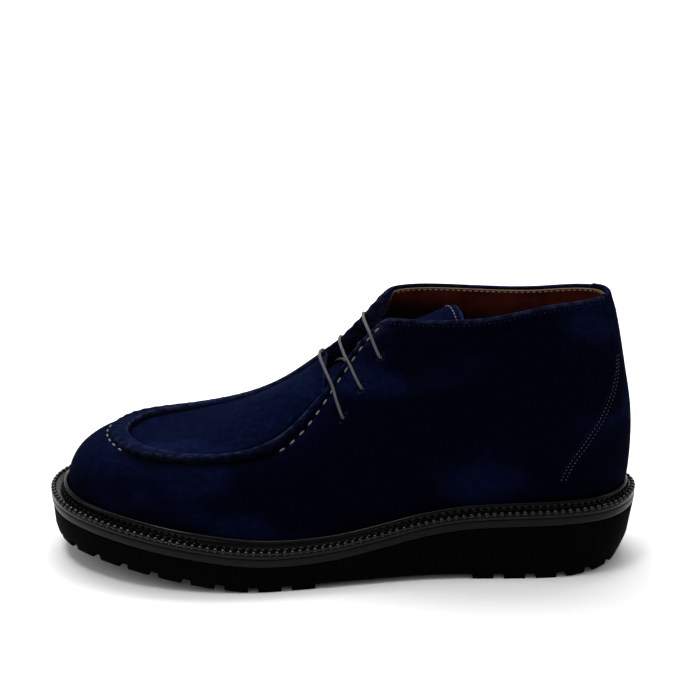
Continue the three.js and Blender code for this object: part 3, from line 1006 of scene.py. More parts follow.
@dataclass(frozen=True)
class Cord:
    """A round waxed lace with a fine braid, on the cord's own UV map."""

    name: str = "waxed lace"
    light: Colour = rgb(0.060, 0.060, 0.064)
    dark: Colour = rgb(0.012, 0.012, 0.014)
    strands: float = 4.0

    def build(self, effects: Effects) -> Material:
        """Make the material.

        Args:
            effects: The shared effects.

        Returns:
            The material.
        """
        g, shader, _ = start_material(self.name, Roughness=0.55, Specular_IOR_Level=0.4)
        uv = g.add("ShaderNodeTexCoord").outputs["UV"]
        split = g.add("ShaderNodeSeparateXYZ", {0: uv}).outputs
        turn = g.times(split[0], 2 * math.pi * self.strands)
        run = g.times(split[1], 2 * math.pi * self.strands)
        one = g.math("SINE", g.plus(turn, run))
        two = g.math("SINE", g.math("SUBTRACT", turn, run))
        braid = g.math("MAXIMUM", one, two)
        g.tree.links.new(g.mix(g.ramp(braid, -0.6, 0.9), self.dark, self.light), shader.inputs["Base Color"])
        add_bump(g, shader, braid, 0.5, 0.0003)
        return bpy.data.materials[self.name]


RUBBER = rgb(0.0008, 0.0009, 0.0009)
BAND = rgb(0.0020, 0.0025, 0.0024)


class Finish(Enum):
    """Every finish on the boot."""

    SUEDE = Suede()
    LINING = Leather("lining leather", rgb(0.032, 0.0046, 0.0024), rgb(0.082, 0.0125, 0.0058), 0.42)
    INSOLE = Leather("insole leather", rgb(0.026, 0.006, 0.003), rgb(0.050, 0.012, 0.006), 0.6)
    OUTSOLE = Rubber("outsole rubber", RUBBER, rgb(0.003, 0.003, 0.003), 0.72, 0.010, 0.2, 0.5)
    MIDSOLE = Rubber("midsole rubber", BAND, rgb(0.005, 0.006, 0.006), 0.36, 0.08, 0.3, 0.12)
    WELT = Rubber("welt rubber", RUBBER, rgb(0.004, 0.0045, 0.0045), 0.20, 0.12, 0.3, 0.06)
    BEAD = Rubber("bead rubber", RUBBER, rgb(0.006, 0.007, 0.007), 0.16, 0.32, 0.3, 0.04)
    CREAM = Thread("cream thread", rgb(0.18, 0.17, 0.16), rgb(0.12, 0.11, 0.10))
    FADED = Thread("faded thread", rgb(0.085, 0.08, 0.088), rgb(0.04, 0.038, 0.045))
    GREY = Thread("grey thread", rgb(0.020, 0.022, 0.040), rgb(0.006, 0.007, 0.014), 0.1)
    BLACK = Thread("black thread", rgb(0.004, 0.004, 0.004), rgb(0.0015, 0.0015, 0.0015), 0.06)
    LACE = Cord()


class Finishes:
    """The finishes' materials, built once."""

    def __init__(self) -> None:
        """Make the materials."""
        effects = Effects()
        self.made = {finish: finish.value.build(effects) for finish in Finish}

    def __getitem__(self, finish: Finish) -> Material:
        """Return a finish's material."""
        return self.made[finish]


# ------------ rows of stitches and beads
@dataclass(frozen=True)
class Stitch:
    """One stitch or bead of a row, in millimetres, and its largest random turn, in radians."""

    length: float
    width: float
    height: float
    pitch: float
    finish: Finish
    slot: str = "thread"
    waver: float = 0.05


class Row(Enum):
    """The kinds of rows on the boot."""

    BEAD = Stitch(2.6, 2.9, 2.1, 3.7, Finish.BEAD, "welt", 0.02)
    WELT = Stitch(2.8, 1.1, 0.8, 3.7, Finish.BLACK, waver=0.04)
    SADDLE = Stitch(3.3, 1.05, 0.9, 6.4, Finish.CREAM)
    COLLAR = Stitch(1.1, 0.32, 0.26, 2.4, Finish.GREY)
    LINING = Stitch(2.0, 0.75, 0.55, 3.0, Finish.CREAM)
    FACING = Stitch(1.9, 0.5, 0.4, 3.0, Finish.GREY)
    HEEL = Stitch(0.9, 0.4, 0.34, 1.9, Finish.FADED)
    TONGUE = Stitch(1.8, 0.6, 0.5, 2.6, Finish.CREAM)


class Sewing:
    """Rows of small rounded shapes set on a line, made by Geometry Nodes."""

    def __init__(self, finishes: Finishes) -> None:
        """Build the node tree.

        Args:
            finishes: The boot's materials.
        """
        self.finishes = finishes
        tree = bpy.data.node_groups.new("Sewn row", "GeometryNodeTree")
        face = tree.interface
        face.new_socket("Geometry", in_out="INPUT", socket_type="NodeSocketGeometry")
        for key in ("Length", "Width", "Height", "Waver"):
            face.new_socket(key, in_out="INPUT", socket_type="NodeSocketFloat")
        face.new_socket("Finish", in_out="INPUT", socket_type="NodeSocketMaterial")
        face.new_socket("Geometry", in_out="OUTPUT", socket_type="NodeSocketGeometry")
        g = Graph(tree)
        start = tree.nodes.new("NodeGroupInput")
        lengths = zip("XYZ", ("Length", "Width", "Height"))
        size = g.add("ShaderNodeCombineXYZ", {axis: start.outputs[name] for axis, name in lengths})
        grain = g.add("GeometryNodeMeshUVSphere", {"Segments": 8, "Rings": 6, "Radius": 0.5})
        shape = g.add("GeometryNodeTransform", {"Geometry": grain.outputs["Mesh"], "Scale": size.outputs[0]})
        ways = [
            g.add("GeometryNodeInputNamedAttribute", {"Name": key}, data_type="FLOAT_VECTOR").outputs[0]
            for key in ("up_way", "run_way")
        ]
        axes = {"primary_axis": "Z", "secondary_axis": "X"}
        turn = g.add("FunctionNodeAxesToRotation", {0: ways[0], 1: ways[1]}, **axes)
        waver = g.times(start.outputs["Waver"], -1.0)
        angle = g.add("FunctionNodeRandomValue", data_type="FLOAT")
        tree.links.new(waver, angle.inputs[2])
        tree.links.new(start.outputs["Waver"], angle.inputs[3])
        angle.inputs["Seed"].default_value = 7
        spin = g.add("ShaderNodeCombineXYZ", {"Z": angle.outputs[1]})
        rows = g.add(
            "GeometryNodeInstanceOnPoints",
            {"Points": start.outputs["Geometry"], "Instance": shape.outputs[0], "Rotation": turn.outputs[0]},
        )
        spun = {"Instances": rows.outputs[0], "Rotation": spin.outputs[0]}
        turned = g.add("GeometryNodeRotateInstances", spun)
        real = g.add("GeometryNodeRealizeInstances", {"Geometry": turned.outputs[0]})
        soft = g.add("GeometryNodeSetShadeSmooth", {"Geometry": real.outputs[0]})
        dressing = {"Geometry": soft.outputs[0], "Material": start.outputs["Finish"]}
        dressed = g.add("GeometryNodeSetMaterial", dressing)
        end = tree.nodes.new("NodeGroupOutput")
        tree.links.new(dressed.outputs[0], end.inputs[0])
        self.tree = tree
        self.keys = {item.name: item.identifier for item in face.items_tree if item.in_out == "INPUT"}

    def set_shapes(self, name: str, stitch: Stitch, points: Array, ups: Array, runs: Array) -> Piece:
        """Set one small shape at each point.

        Args:
            name: The piece's name.
            stitch: The shape.
            points: Middles of the shapes, in millimetres.
            ups: Direction out of the surface at each.
            runs: Direction along the row at each.

        Returns:
            The finished piece.
        """
        seed = new_mesh(name + "_points", points, [])
        for key, vectors in (("up_way", ups), ("run_way", runs)):
            layer = seed.data.attributes.new(key, "FLOAT_VECTOR", "POINT")
            layer.data.foreach_set("vector", np.asarray(vectors, np.float32).ravel())
        modifier = seed.modifiers.new("Sewn row", "NODES")
        modifier.node_group = self.tree
        values = {"Length": stitch.length * MM, "Width": stitch.width * MM, "Height": stitch.height * MM}
        values |= {"Waver": stitch.waver, "Finish": self.finishes[stitch.finish]}
        for key, value in values.items():
            modifier[self.keys[key]] = value
        graph = bpy.context.evaluated_depsgraph_get()
        mesh = bpy.data.meshes.new_from_object(seed.evaluated_get(graph))
        mesh.name = name
        seed.modifiers.clear()
        bpy.data.objects.remove(seed)
        return place(link(name, mesh), stitch.slot)

    def sew(
        self,
        name: str,
        row: Row,
        line: Line,
        out: Line,
        ends: tuple[float, float],
        step: float = 0.01,
        lift: Line | None = None,
        square: bool = True,
    ) -> None:
        """Set evenly spaced shapes on a line.

        Args:
            name: The piece's name.
            row: What is set.
            line: Gives the line's points from its parameter, mm.
            out: Gives the direction out of the surface from the same parameter.
            ends: First and last parameter.
            step: Change of the parameter over which the line's direction is read.
            lift: Gives the height of the shapes' middles over the line, mm.
            square: Whether the shapes stand square to the line.
        """
        fine = np.linspace(*ends, 1500)
        length = walked(line(fine))
        count = max(round(length[-1] / row.value.pitch), 1)
        spots = np.interp((np.arange(count) + 0.5) * length[-1] / count, length, fine)
        points, ups = line(spots), out(spots)
        runs = unit(line(spots + step) - line(spots - step))
        if square:
            ups = unit(ups - runs * np.sum(ups * runs, axis=1, keepdims=True))
        if lift:
            points = points + ups * lift(spots)[:, None]
        self.set_shapes(name, row.value, points, ups, runs)


# ------------ the sole
@dataclass
class Sole:
    """Outsole, midsole, welt and insole."""

    last: Last
    finishes: Finishes
    sewing: Sewing
    samples: int = 768
    lip: float = 3.0
    lip_width: float = 2.2
    stitch_gap: float = 3.9
    bead_inset: float = 1.15
    insole_thickness: float = 3.5
    wall: float = 2.5

    def rows(self) -> Array:
        """Return evenly stepped rows round the boot."""
        return np.arange(self.samples) * self.last.rows / self.samples

    def at_edge(self, distance: float | Array, surface: Line, fall: float) -> Array:
        """Return a loop inside the sole's edge.

        Args:
            distance: How far inside, mm.
            surface: Gives the height of a surface at y.
            fall: How far the loop lies below the surface, mm.

        Returns:
            The loop's points.
        """
        p = self.last.inset(self.rows(), distance)
        p[..., 2] = surface(p[..., 1]) - fall
        return p

    def beside_upper(self, rise: float, distance: float) -> Array:
        """Return a loop beside the upper.

        Args:
            rise: Height over the welt's top, mm.
            distance: Distance out from the wall, mm.

        Returns:
            The loop's points.
        """
        rows = self.rows()
        foot = self.last.feather(rows)
        target = self.last.welt_top(foot[..., 1]) + rise
        low, high = np.zeros_like(rows), np.full_like(rows, 0.5)
        for _ in range(18):
            middle = (low + high) / 2
            below = self.last.wall(rows, middle)[..., 2] < target
            low, high = np.where(below, middle, low), np.where(below, high, middle)
        p = self.last.wall(rows, low) + self.last.outward(rows) * distance
        p[..., 2] = self.last.welt_top(self.last.edge(rows)[..., 1]) + rise
        return p

    def build_outsole(self, node: Piece) -> None:
        """Round the lugs' edges on a copy of the CAD outsole.

        Args:
            node: The CAD outsole.
        """
        mesh = node.data.copy()
        mesh.name = "lugged_outsole"
        work = bmesh.new()
        work.from_mesh(mesh)
        bmesh.ops.remove_doubles(work, verts=work.verts, dist=1e-6)
        bmesh.ops.dissolve_limit(work, angle_limit=math.radians(1.0), verts=work.verts, edges=work.edges)
        work.to_mesh(mesh)
        work.free()
        mesh.materials.clear()
        mesh.materials.append(self.finishes[Finish.OUTSOLE])
        obj = link(mesh.name, mesh)
        bevel = obj.modifiers.new("Soft edges", "BEVEL")
        bevel.width = 0.45 * MM
        bevel.segments = 2
        bevel.limit_method = "ANGLE"
        bevel.angle_limit = math.radians(35)
        bevel.harden_normals = True
        mesh.shade_smooth()
        place(obj, "outsole", "outsole")

    def build_midsole(self) -> None:
        """Build the smooth band between outsole and welt."""
        last = self.last
        depth = last.midsole_thickness + last.gap
        # inset of the loop, share of the band's height
        profile = ((1.3, 0), (0.75, 0.07), (0.4, 0.2), (0.15, 0.42), (0.03, 0.7), (0, 0.97), (0.12, 1.07))
        profile += ((0.4, 1.09),)
        loops = [self.at_edge(inset, last.midsole_top, depth * (1 - share)) for inset, share in profile]
        band = ring_body("midsole_band", np.array(loops), self.finishes[Finish.MIDSOLE], False)
        place(band, "midsole", "midsole")

    def build_welt(self) -> None:
        """Build the welt: its outer edge, its top with the stitched groove, and its turned-up lip."""
        last = self.last
        depth, width, lip, beside = last.welt_thickness, self.lip_width, self.lip, 2 * last.gap
        sewn = self.sewn_inset(self.rows())
        # inset of the loop, fall below the welt's top
        strip = ((0.4, depth), (0.1, depth - 0.06), (0.02, depth * 0.7), (0.1, depth * 0.4), (0.4, 0.65))
        strip += ((0.9, 0.5), (sewn - 1.3, 0.2), (sewn - 0.8, 0.75), (sewn + 0.1, 0.7))
        # rise over the welt's top, distance out from the gap beside the upper
        turned = ((-0.2, width + 0.5), (0.4, width + 0.1), (lip * 0.5, width * 0.97))
        turned += ((lip * 0.8, width * 0.85), (lip * 0.96, width * 0.6), (lip, width * 0.35))
        turned += ((lip * 0.92, width * 0.1), (lip * 0.4, -0.1))
        loops = [self.beside_upper(0.2 - depth, beside)]
        loops += [self.at_edge(inset, last.welt_top, fall) for inset, fall in strip]
        loops += [self.beside_upper(rise, beside + out) for rise, out in turned]
        place(ring_body("storm_welt", np.array(loops), self.finishes[Finish.WELT], True), "welt", "welt")
        self.sew_welt("welt_beads", Row.BEAD, lambda row: np.full_like(row, self.bead_inset), -0.3, 0.5)
        self.sew_welt("welt_stitches", Row.WELT, self.sewn_inset, -0.1, 0.6)

    def sewn_inset(self, row: Array) -> Array:
        """Return the welt stitches' distance inside the sole's edge."""
        return self.last.curves["welt"](row) - self.stitch_gap

    def sew_welt(self, name: str, row: Row, inset: Line, rise: float, lean: float) -> None:
        """Set a row of shapes on the welt's top.

        Args:
            name: The piece's name.
            row: What is set.
            inset: Gives the row's distance inside the sole's edge, mm.
            rise: Height of the shapes' middles over the welt's top, mm.
            lean: How far the shapes lean outwards, as a slope.
        """
        last = self.last

        def line(rows: Array) -> Array:
            """Return the row's points.

            Args:
                rows: Sections of the loop.

            Returns:
                The points.
            """
            p = last.inset(rows, inset(rows))
            p[..., 2] = last.welt_top(p[..., 1]) + rise
            return p

        def out(rows: Array) -> Array:
            """Return the direction in which the shapes stand."""
            return unit(np.array([0, 0, 1.0]) + lean * last.outward(rows))

        self.sewing.sew(name, row, line, out, (0, last.rows), 0.02, square=False)

    def build_insole(self) -> None:
        """Build the footbed."""
        last, rows = self.last, self.rows()

        def loop(height: float, distance: float) -> Array:
            """Return a loop inside the upper.

            Args:
                height: Height over the foot of the upper, mm.
                distance: Distance inside the gap beside the upper, mm.

            Returns:
                The loop's points.
            """
            p = last.feather(rows) - last.outward(rows) * (self.wall + 2 * last.gap + distance)
            p[..., 2] = last.upper_foot(p[..., 1]) + height
            return p

        tall = self.insole_thickness
        loops = np.array([loop(0.3, 0.3), loop(tall - 0.8, 0.0), loop(tall - 0.2, 0.4), loop(tall, 1.2)])
        place(ring_body("footbed", loops, self.finishes[Finish.INSOLE], False), "insole", "insole")

    def build(self, nodes: dict[str, Piece]) -> None:
        """Build every piece of the sole.

        Args:
            nodes: The frame's CAD nodes by name.
        """
        self.build_outsole(nodes["outsole"])
        self.build_midsole()
        self.build_welt()
        self.build_insole()


# ------------ the upper
@dataclass
class Upper:
    """The suede upper, its rolled apron seam, its folded collar and its lining."""

    last: Last
    finishes: Finishes
    sewing: Sewing
    per_row: int = 24
    levels: int = 60
    shoulder: float = 7.0
    shoulder_levels: int = 26
    corner: int = 6
    apron_columns: int = 64
    ridge: float = 2.7
    ridge_side: float = 1.9
    ridge_toe: float = 8.6
    crest_back: float = 1.5
    fold: float = 1.0
    skirt: float = 2.2
    facing_skirt: float = 19.0
    facing_depth: float = 1.1
    rear_skirt: float = 6.0
    saddle_gap: float = 2.6
    saddle_gap_side: float = 4.4
    saddle_start: float = 6.9
    hole_radius: float = 1.5
    lining_per_row: int = 12
    lining_levels: int = 34
    lining_columns: int = 24
    lining_tuck: float = 15.5
    lining_depth: float = 2.95
    holes: list[Array] = field(default_factory=list)
    phase: tuple[Array, Array] = field(init=False)

    def __post_init__(self) -> None:
        """Count the saddle stitches along their line."""
        rows = np.linspace(self.saddle_start, self.last.rows - self.saddle_start, 1500)
        length = walked(self.saddle_line(rows))
        self.phase = (rows, length / length[-1] * round(length[-1] / Row.SADDLE.value.pitch))

    def ridge_share(self, row: Array) -> Array:
        """Return how strongly the seam stands up: fully round the apron, fading out along the facing."""
        r = self.last.from_heel(row)
        return smooth((r - 7.0) / 1.8) * 0.55 + smooth((r - 9) / 1.5) * 0.45

    def profile(self, s: Array, row: Array) -> tuple[Array, Array, Array]:
        """Return the rolled seam's cross-section.

        Args:
            s: Distance across the seam, positive on the wall's side, mm.
            row: Section of the loop.

        Returns:
            The height over the leather, in mm, the crest value, which marks painted highlight and wear, and
            the painted shade beside the seam, both 0 to 1.
        """
        outer = self.sewn_at(row) - 0.3
        toe = smooth((self.last.from_heel(row) - 12.2) / 3.4)
        inner = self.ridge_side + (self.ridge_toe - self.ridge_side) * toe
        crest = self.crest_back - inner
        out = np.clip((s - crest) / (outer - crest), 0, 1)
        rolled = (1 - out**2) ** 0.75
        fall = 1 - smooth((crest - s) / 1.7)
        h = self.ridge * np.where(s > crest, rolled, fall)
        h = h - 0.5 * np.exp(-(((s - crest + 2.3) / 0.9) ** 2))
        # Painted shade: a dark strip inside the crest, wider on the medial side, and one past the saddle
        # stitches where they sink.
        reach = 1.5 + 3.2 * smooth((np.mod(row, self.last.rows) - 16.8) / 1.5)
        below = crest - 0.7 - s
        inside = smooth(below / 0.7) * (1 - smooth((below - 0.6 - reach * 0.6) / (0.6 + reach * 0.4)))
        beyond = smooth((s - outer + 1.8) / 1.6) * (1 - smooth((s - outer) / 6.0))
        hollow = np.maximum(inside, beyond * self.sunk(row))
        return h, np.exp(-(((s - crest + 0.2) / 0.5) ** 2)), hollow

    def sunk(self, row: Array) -> Array:
        """Return where the saddle stitches are pulled deep into the seam: along both sides of the apron."""
        r = self.last.from_heel(row)
        return smooth((r - 10.45) / 0.5) * (1 - smooth((r - 14.3) / 0.5))

    def sewn_at(self, row: Array) -> Array:
        """Return the saddle stitches' distance from the top edge.

        Args:
            row: Section of the loop.

        Returns:
            The distances, mm.
        """
        r = self.last.from_heel(row)
        side = smooth((r - 8.6) / 1.4) * (1 - smooth((r - 10.9) / 1.4))
        return self.saddle_gap + (self.saddle_gap_side - self.saddle_gap) * side

    def saddle_drop(self, row: Array) -> Array:
        """Return the saddle stitches' drop below the top edge."""
        return self.sewn_at(row) / self.last.slant(row)

    def saddle_line(self, row: Array) -> Array:
        """Return points of the saddle stitch line, before the seam is raised."""
        return self.last.wall(row, self.last.up_at(row, self.saddle_drop(row)))

    def saddle_phase(self, row: Array) -> Array:
        """Return the count of saddle stitches passed at a row."""
        return np.interp(np.mod(row, self.last.rows), *self.phase)

    def creases(self, p: Array) -> Array:
        """Return the soft troughs and swells of the leather.

        Args:
            p: Points on the upper, mm.

        Returns:
            The height of the leather at each, mm.
        """
        x, y, z = p[..., 0], p[..., 1], p[..., 2]
        waves = (
            # y, z, slope of the fold, half length, half width, depth
            (-52, 45, 0.9, 16, 5.0, -0.35),
            (-40, 52, 1.0, 15, 5.0, 0.30),
            (18, 62, 0.5, 22, 7.0, -0.55),
            (30, 74, 0.45, 20, 7.0, 0.35),
            (62, 92, -0.35, 24, 8.0, -0.45),
            (70, 112, -0.2, 22, 8.0, 0.30),
            (96, 84, -0.7, 16, 7.0, -0.35),
            (-96, 48, 0.3, 14, 6.0, 0.25),
        )
        h = 0.25 * np.sin(y * 0.085 + z * 0.05 + x * 0.03) * np.sin(z * 0.11 - y * 0.03 + 1.0)
        for wy, wz, slope, long, wide, depth in waves:
            scale = math.hypot(1, slope)
            run = ((y - wy) + slope * (z - wz)) / scale
            off = ((z - wz) - slope * (y - wy)) / scale
            h = h + depth * np.exp(-((run / long) ** 2) - (off / wide) ** 2)
        return h

    def raised(self, row: Array, up: Array) -> tuple[Array, Array, Array]:
        """Return points of the suede's outer face, each one's crest value (painted highlight and wear) and
        painted shade.

        Args:
            row: Section of the loop.
            up: Share of the wall's curve.

        Returns:
            The points, and the crest values (painted highlight and wear) and painted shade values, from 0 to
            1.
        """
        last = self.last
        row, up = np.broadcast_arrays(np.asarray(row, float), np.asarray(up, float))
        base = last.wall(row, up)
        drop = last.drop_at(row, up)
        across = drop * last.slant(row)
        share = self.ridge_share(row)
        rolled, line, hollow = self.profile(across, row)
        phase = self.saddle_phase(row)
        sunk = self.sunk(row)
        past = across - self.sewn_at(row)
        pucker = 0.28 * np.cos(2 * math.pi * phase) * np.exp(-(((past + 1.6) / 1.7) ** 2))
        channel = -(0.5 + 0.5 * sunk) * np.exp(-((past / 0.85) ** 2))
        sewn = smooth((last.from_heel(row) - self.saddle_start + 0.4) / 0.5)
        outward = last.seam_normal(row)
        lean = last.normal(row, up)
        away = smooth(drop / 12) * smooth(up / 0.12)
        h = self.creases(base) * away + (channel - pucker) * sewn
        p = base + outward * (rolled * share)[..., None] + lean * h[..., None]
        lower = self.fold * smooth(1 - drop / 6) * (1 - smooth((last.from_heel(row) - 8.9) / 0.7))
        p = p - last.rise(row, np.ones_like(row)) * lower[..., None]
        corner = np.exp(-(((last.from_heel(row) - 7.2) / 0.75) ** 2)) * smooth(1 - drop / 11)
        # Painted highlight and wear: pale along the seam's crest, the top edge and the collar's corner.
        crest = 0.75 * share * line + 0.12 * share * smooth(1 - across / 4)
        crest = crest + 0.4 * np.exp(-((drop / 0.9) ** 2)) + 0.42 * corner
        return p, np.clip(crest, 0, 1), np.clip(hollow * share, 0, 1)

    def apron_points(self, row: Array, share: Array) -> tuple[Array, Array, Array]:
        """Return points of the apron's outer face, their crest values (painted highlight and wear) and
        painted shade.

        Args:
            row: Section between the throat and the toe.
            share: Share of the way from the lateral seam to the medial seam.

        Returns:
            The points, and the crest and painted shade values from 0 to 1.
        """
        last = self.last
        base = last.apron(row, share)
        seam_rows = np.linspace(last.throat, last.rows - last.throat, 1400)
        seam = last.top(seam_rows)
        stand = last.seam_normal(seam_rows)
        flat = base.reshape(-1, 3)
        nearest = np.empty(len(flat), int)
        for start in range(0, len(flat), 2000):
            part = flat[start : start + 2000]
            nearest[start : start + 2000] = np.argmin(
                ((part[:, None, :] - seam[None, :, :]) ** 2).sum(axis=2), axis=1
            )
        nearest = nearest.reshape(base.shape[:-1])
        away = np.linalg.norm(base - seam[nearest], axis=-1)
        rows = seam_rows[nearest]
        rolled, line, hollow = self.profile(-away, rows)
        toe = smooth((last.from_heel(rows) - 13.6) / 1.5)
        pucker = 0.22 * toe * np.cos(2 * math.pi * self.saddle_phase(rows))
        pucker = pucker * np.exp(-(((away - 2.0) / 3.0) ** 2))
        over = last.apron_normal(np.broadcast_to(row, base.shape[:-1]), share)
        turn = smooth(away / 4)[..., None]
        way = unit(stand[nearest] * (1 - turn) + over * turn)
        strength = self.ridge_share(rows)
        h = (rolled - pucker) * strength + self.creases(base) * 0.6 * smooth((away - 6) / 12)
        # Painted highlight and wear along the seam's crest.
        crest = strength * (0.75 * line + 0.12 * smooth(rolled / 2))
        return base + way * h[..., None], np.clip(crest, 0, 1), np.clip(hollow * strength, 0, 1)

    def over(self, row: Array | float, drop: Array | float, lift: Array | float) -> Array:
        """Return points over the suede.

        Args:
            row: Section of the loop.
            drop: Distance below the top edge, mm.
            lift: Height off the face, mm.

        Returns:
            The points.
        """
        row, drop, lift = np.broadcast_arrays(*(np.asarray(value, float) for value in (row, drop, lift)))
        up = self.last.up_at(row, drop)
        return self.raised(row, up)[0] + self.last.normal(row, up) * lift[..., None]

    def facing(self, row: Array) -> Array:
        """Return 1 along the facings, where the suede is folded deep inside, and 0 elsewhere."""
        r = self.last.from_heel(row)
        return smooth((r - 6.3) / 0.5) * (1 - smooth((r - 9.35) / 0.3))

    def rim(self, points: Array, out: Array, way: Array, rows: Array) -> Array:
        """Fold an edge over and run it down the inside, furthest along the facings.

        Args:
            points: The edge's points.
            out: Direction out of the outer face at each.
            way: Direction past the edge at each.
            rows: Section of the loop at each, or a negative number on the apron's rear edge.

        Returns:
            Loops of points that follow the edge over and down the inside.
        """
        r, last = self.fold, self.last
        angles = np.linspace(0, math.pi, 8)[1:]
        loops = [points - out * r + r * (out * math.cos(a) + way * math.sin(a)) for a in angles]
        facing = self.facing(rows) * (rows >= 0)
        length = self.skirt + (self.facing_skirt - self.skirt) * facing
        depth = 2 * r + self.facing_depth * facing
        on = np.maximum(rows, 0)
        for share in (0.1, 0.25, 0.45, 0.7, 1.0):
            drop = r + length * share
            up = last.up_at(on, drop)
            inside = last.wall(on, up) - last.normal(on, up) * (depth * (1 if share > 0.2 else 0.85))[:, None]
            straight = loops[len(angles) - 1] - way * (self.rear_skirt * share)
            loops.append(np.where((rows >= 0)[:, None], inside, straight))
        return np.array(loops)

    def layout(self) -> dict[str, Array]:
        """Return the rows, heights and shares on which the upper's face is sampled.

        Returns:
            The arrays by name.
        """
        last = self.last
        n = last.rows * self.per_row
        rows = np.arange(n) / self.per_row
        deep = self.shoulder / last.slant(rows)
        low = np.linspace(0, 1, self.levels + 1)[:-1, None] * last.up_at(rows, deep)[None, :]
        drops = deep[None, :] * np.linspace(1, 0, self.shoulder_levels)[:, None] ** 1.15
        first = round(last.throat * self.per_row)
        return {
            "rows": rows,
            "ups": np.concatenate([low, last.up_at(rows[None, :], drops)]),
            "first": np.array(first),
            "apron_rows": np.arange(first, n // 2) / self.per_row,
            "shares": (1 - np.cos(np.pi * np.arange(self.apron_columns + 1) / self.apron_columns)) / 2,
        }

    def skin(self, grid: dict[str, Array]) -> tuple[Array, dict, Array, Array, list]:
        """Join wall and apron into one face.

        Args:
            grid: The layout.

        Returns:
            Points, crest (painted highlight and wear) and painted shade values, vertex numbers of the top
            edge and the apron's rear, and faces.
        """
        wall, crest, hollow = self.raised(grid["rows"][None, :], grid["ups"])
        ids = np.arange(wall[..., 0].size).reshape(wall.shape[:2])
        shares = grid["shares"][1:-1]
        sheet, sheet_crest, sheet_painted_shade = self.apron_points(grid["apron_rows"][:, None], shares[None, :])
        inside = ids.size + np.arange(sheet[..., 0].size).reshape(sheet.shape[:2])
        across = across_ids(ids[-1], inside, int(grid["first"]))
        values = {
            "crest": np.concatenate([crest.ravel(), sheet_crest.ravel()]),
            "hollow": np.concatenate([hollow.ravel(), sheet_painted_shade.ravel()]),
        }
        points = np.concatenate([wall.reshape(-1, 3), sheet.reshape(-1, 3)])
        faces = grid_faces(ids, closed=True) + grid_faces(across[:, ::-1])
        return points, values, ids[-1], across[0], faces

    def edge_loop(self, grid: dict[str, Array], top: Array, rear: Array) -> tuple[Array, ...]:
        """Return the free edge, with the directions out of the face and past the edge.

        Args:
            grid: The layout.
            top: Vertex numbers of the wall's top edge.
            rear: Vertex numbers of the apron's rear edge.

        Returns:
            The vertex numbers, both directions and the sections, negative on the apron's rear edge.
        """
        last = self.last
        first, n = int(grid["first"]), len(grid["rows"])
        loop = np.concatenate([top[:first], rear, top[n - first + 1 :]])
        rows = grid["rows"]
        ones = np.ones(n)
        out, way = last.normal(rows, ones), last.rise(rows, ones)
        shares = grid["shares"]
        over = last.apron_normal(np.full(len(shares), last.throat), shares)
        back = unit(last.apron(last.throat - 0.05, shares) - last.apron(last.throat + 0.05, shares))
        for k in range(self.corner):
            t = smooth((k + 0.5) / self.corner)
            for index, row in ((k, first), (len(shares) - 1 - k, n - first)):
                over[index] = unit(out[row] * (1 - t) + over[index] * t)
                back[index] = unit(way[row] * (1 - t) + back[index] * t)
        outs = np.concatenate([out[:first], over, out[n - first + 1 :]])
        ways = np.concatenate([way[:first], back, way[n - first + 1 :]])
        ways = unit(ways - outs * np.sum(ways * outs, axis=1, keepdims=True))
        sections = np.concatenate([rows[:first], np.full(len(shares), -1.0), rows[n - first + 1 :]])
        return loop, outs, ways, sections

    def build_suede(self) -> None:
        """Build the outer face with its folded edge."""
        grid = self.layout()
        points, values, top, rear, faces = self.skin(grid)
        loop, outs, ways, sections = self.edge_loop(grid, top, rear)
        folds = self.rim(points[loop], outs, ways, sections)
        ids = len(points) + np.arange(folds[..., 0].size).reshape(folds.shape[:2])
        centres = np.array([points[list(face)].mean(axis=0) for face in faces])
        open_here = np.zeros(len(faces), bool)
        for hole in self.holes:
            open_here |= np.linalg.norm(centres - hole, axis=1) < self.hole_radius
        faces = [face for face, gone in zip(faces, open_here) if not gone]
        faces += grid_faces(np.concatenate([loop[None, :], ids]), closed=True)
        points = np.concatenate([points, folds.reshape(-1, 3)])
        # The folded rim is painted pale, most at the collar's corner: painted highlight and wear.
        corner = np.exp(-(((self.last.from_heel(sections) - 7.0) / 0.8) ** 2)) * (sections >= 0)
        values["crest"] = np.concatenate([values["crest"], np.tile(0.36 + 0.5 * corner, len(folds))])
        values["hollow"] = np.concatenate([values["hollow"], np.zeros(ids.size)])
        place(new_mesh("suede_upper", points, faces, self.finishes[Finish.SUEDE], values), "suede", "upper")

    def build_lining(self) -> None:
        """Build the leather inside the upper."""
        last = self.last
        n = last.rows * self.lining_per_row
        rows = np.arange(n) / self.lining_per_row
        from_heel = last.from_heel(rows)
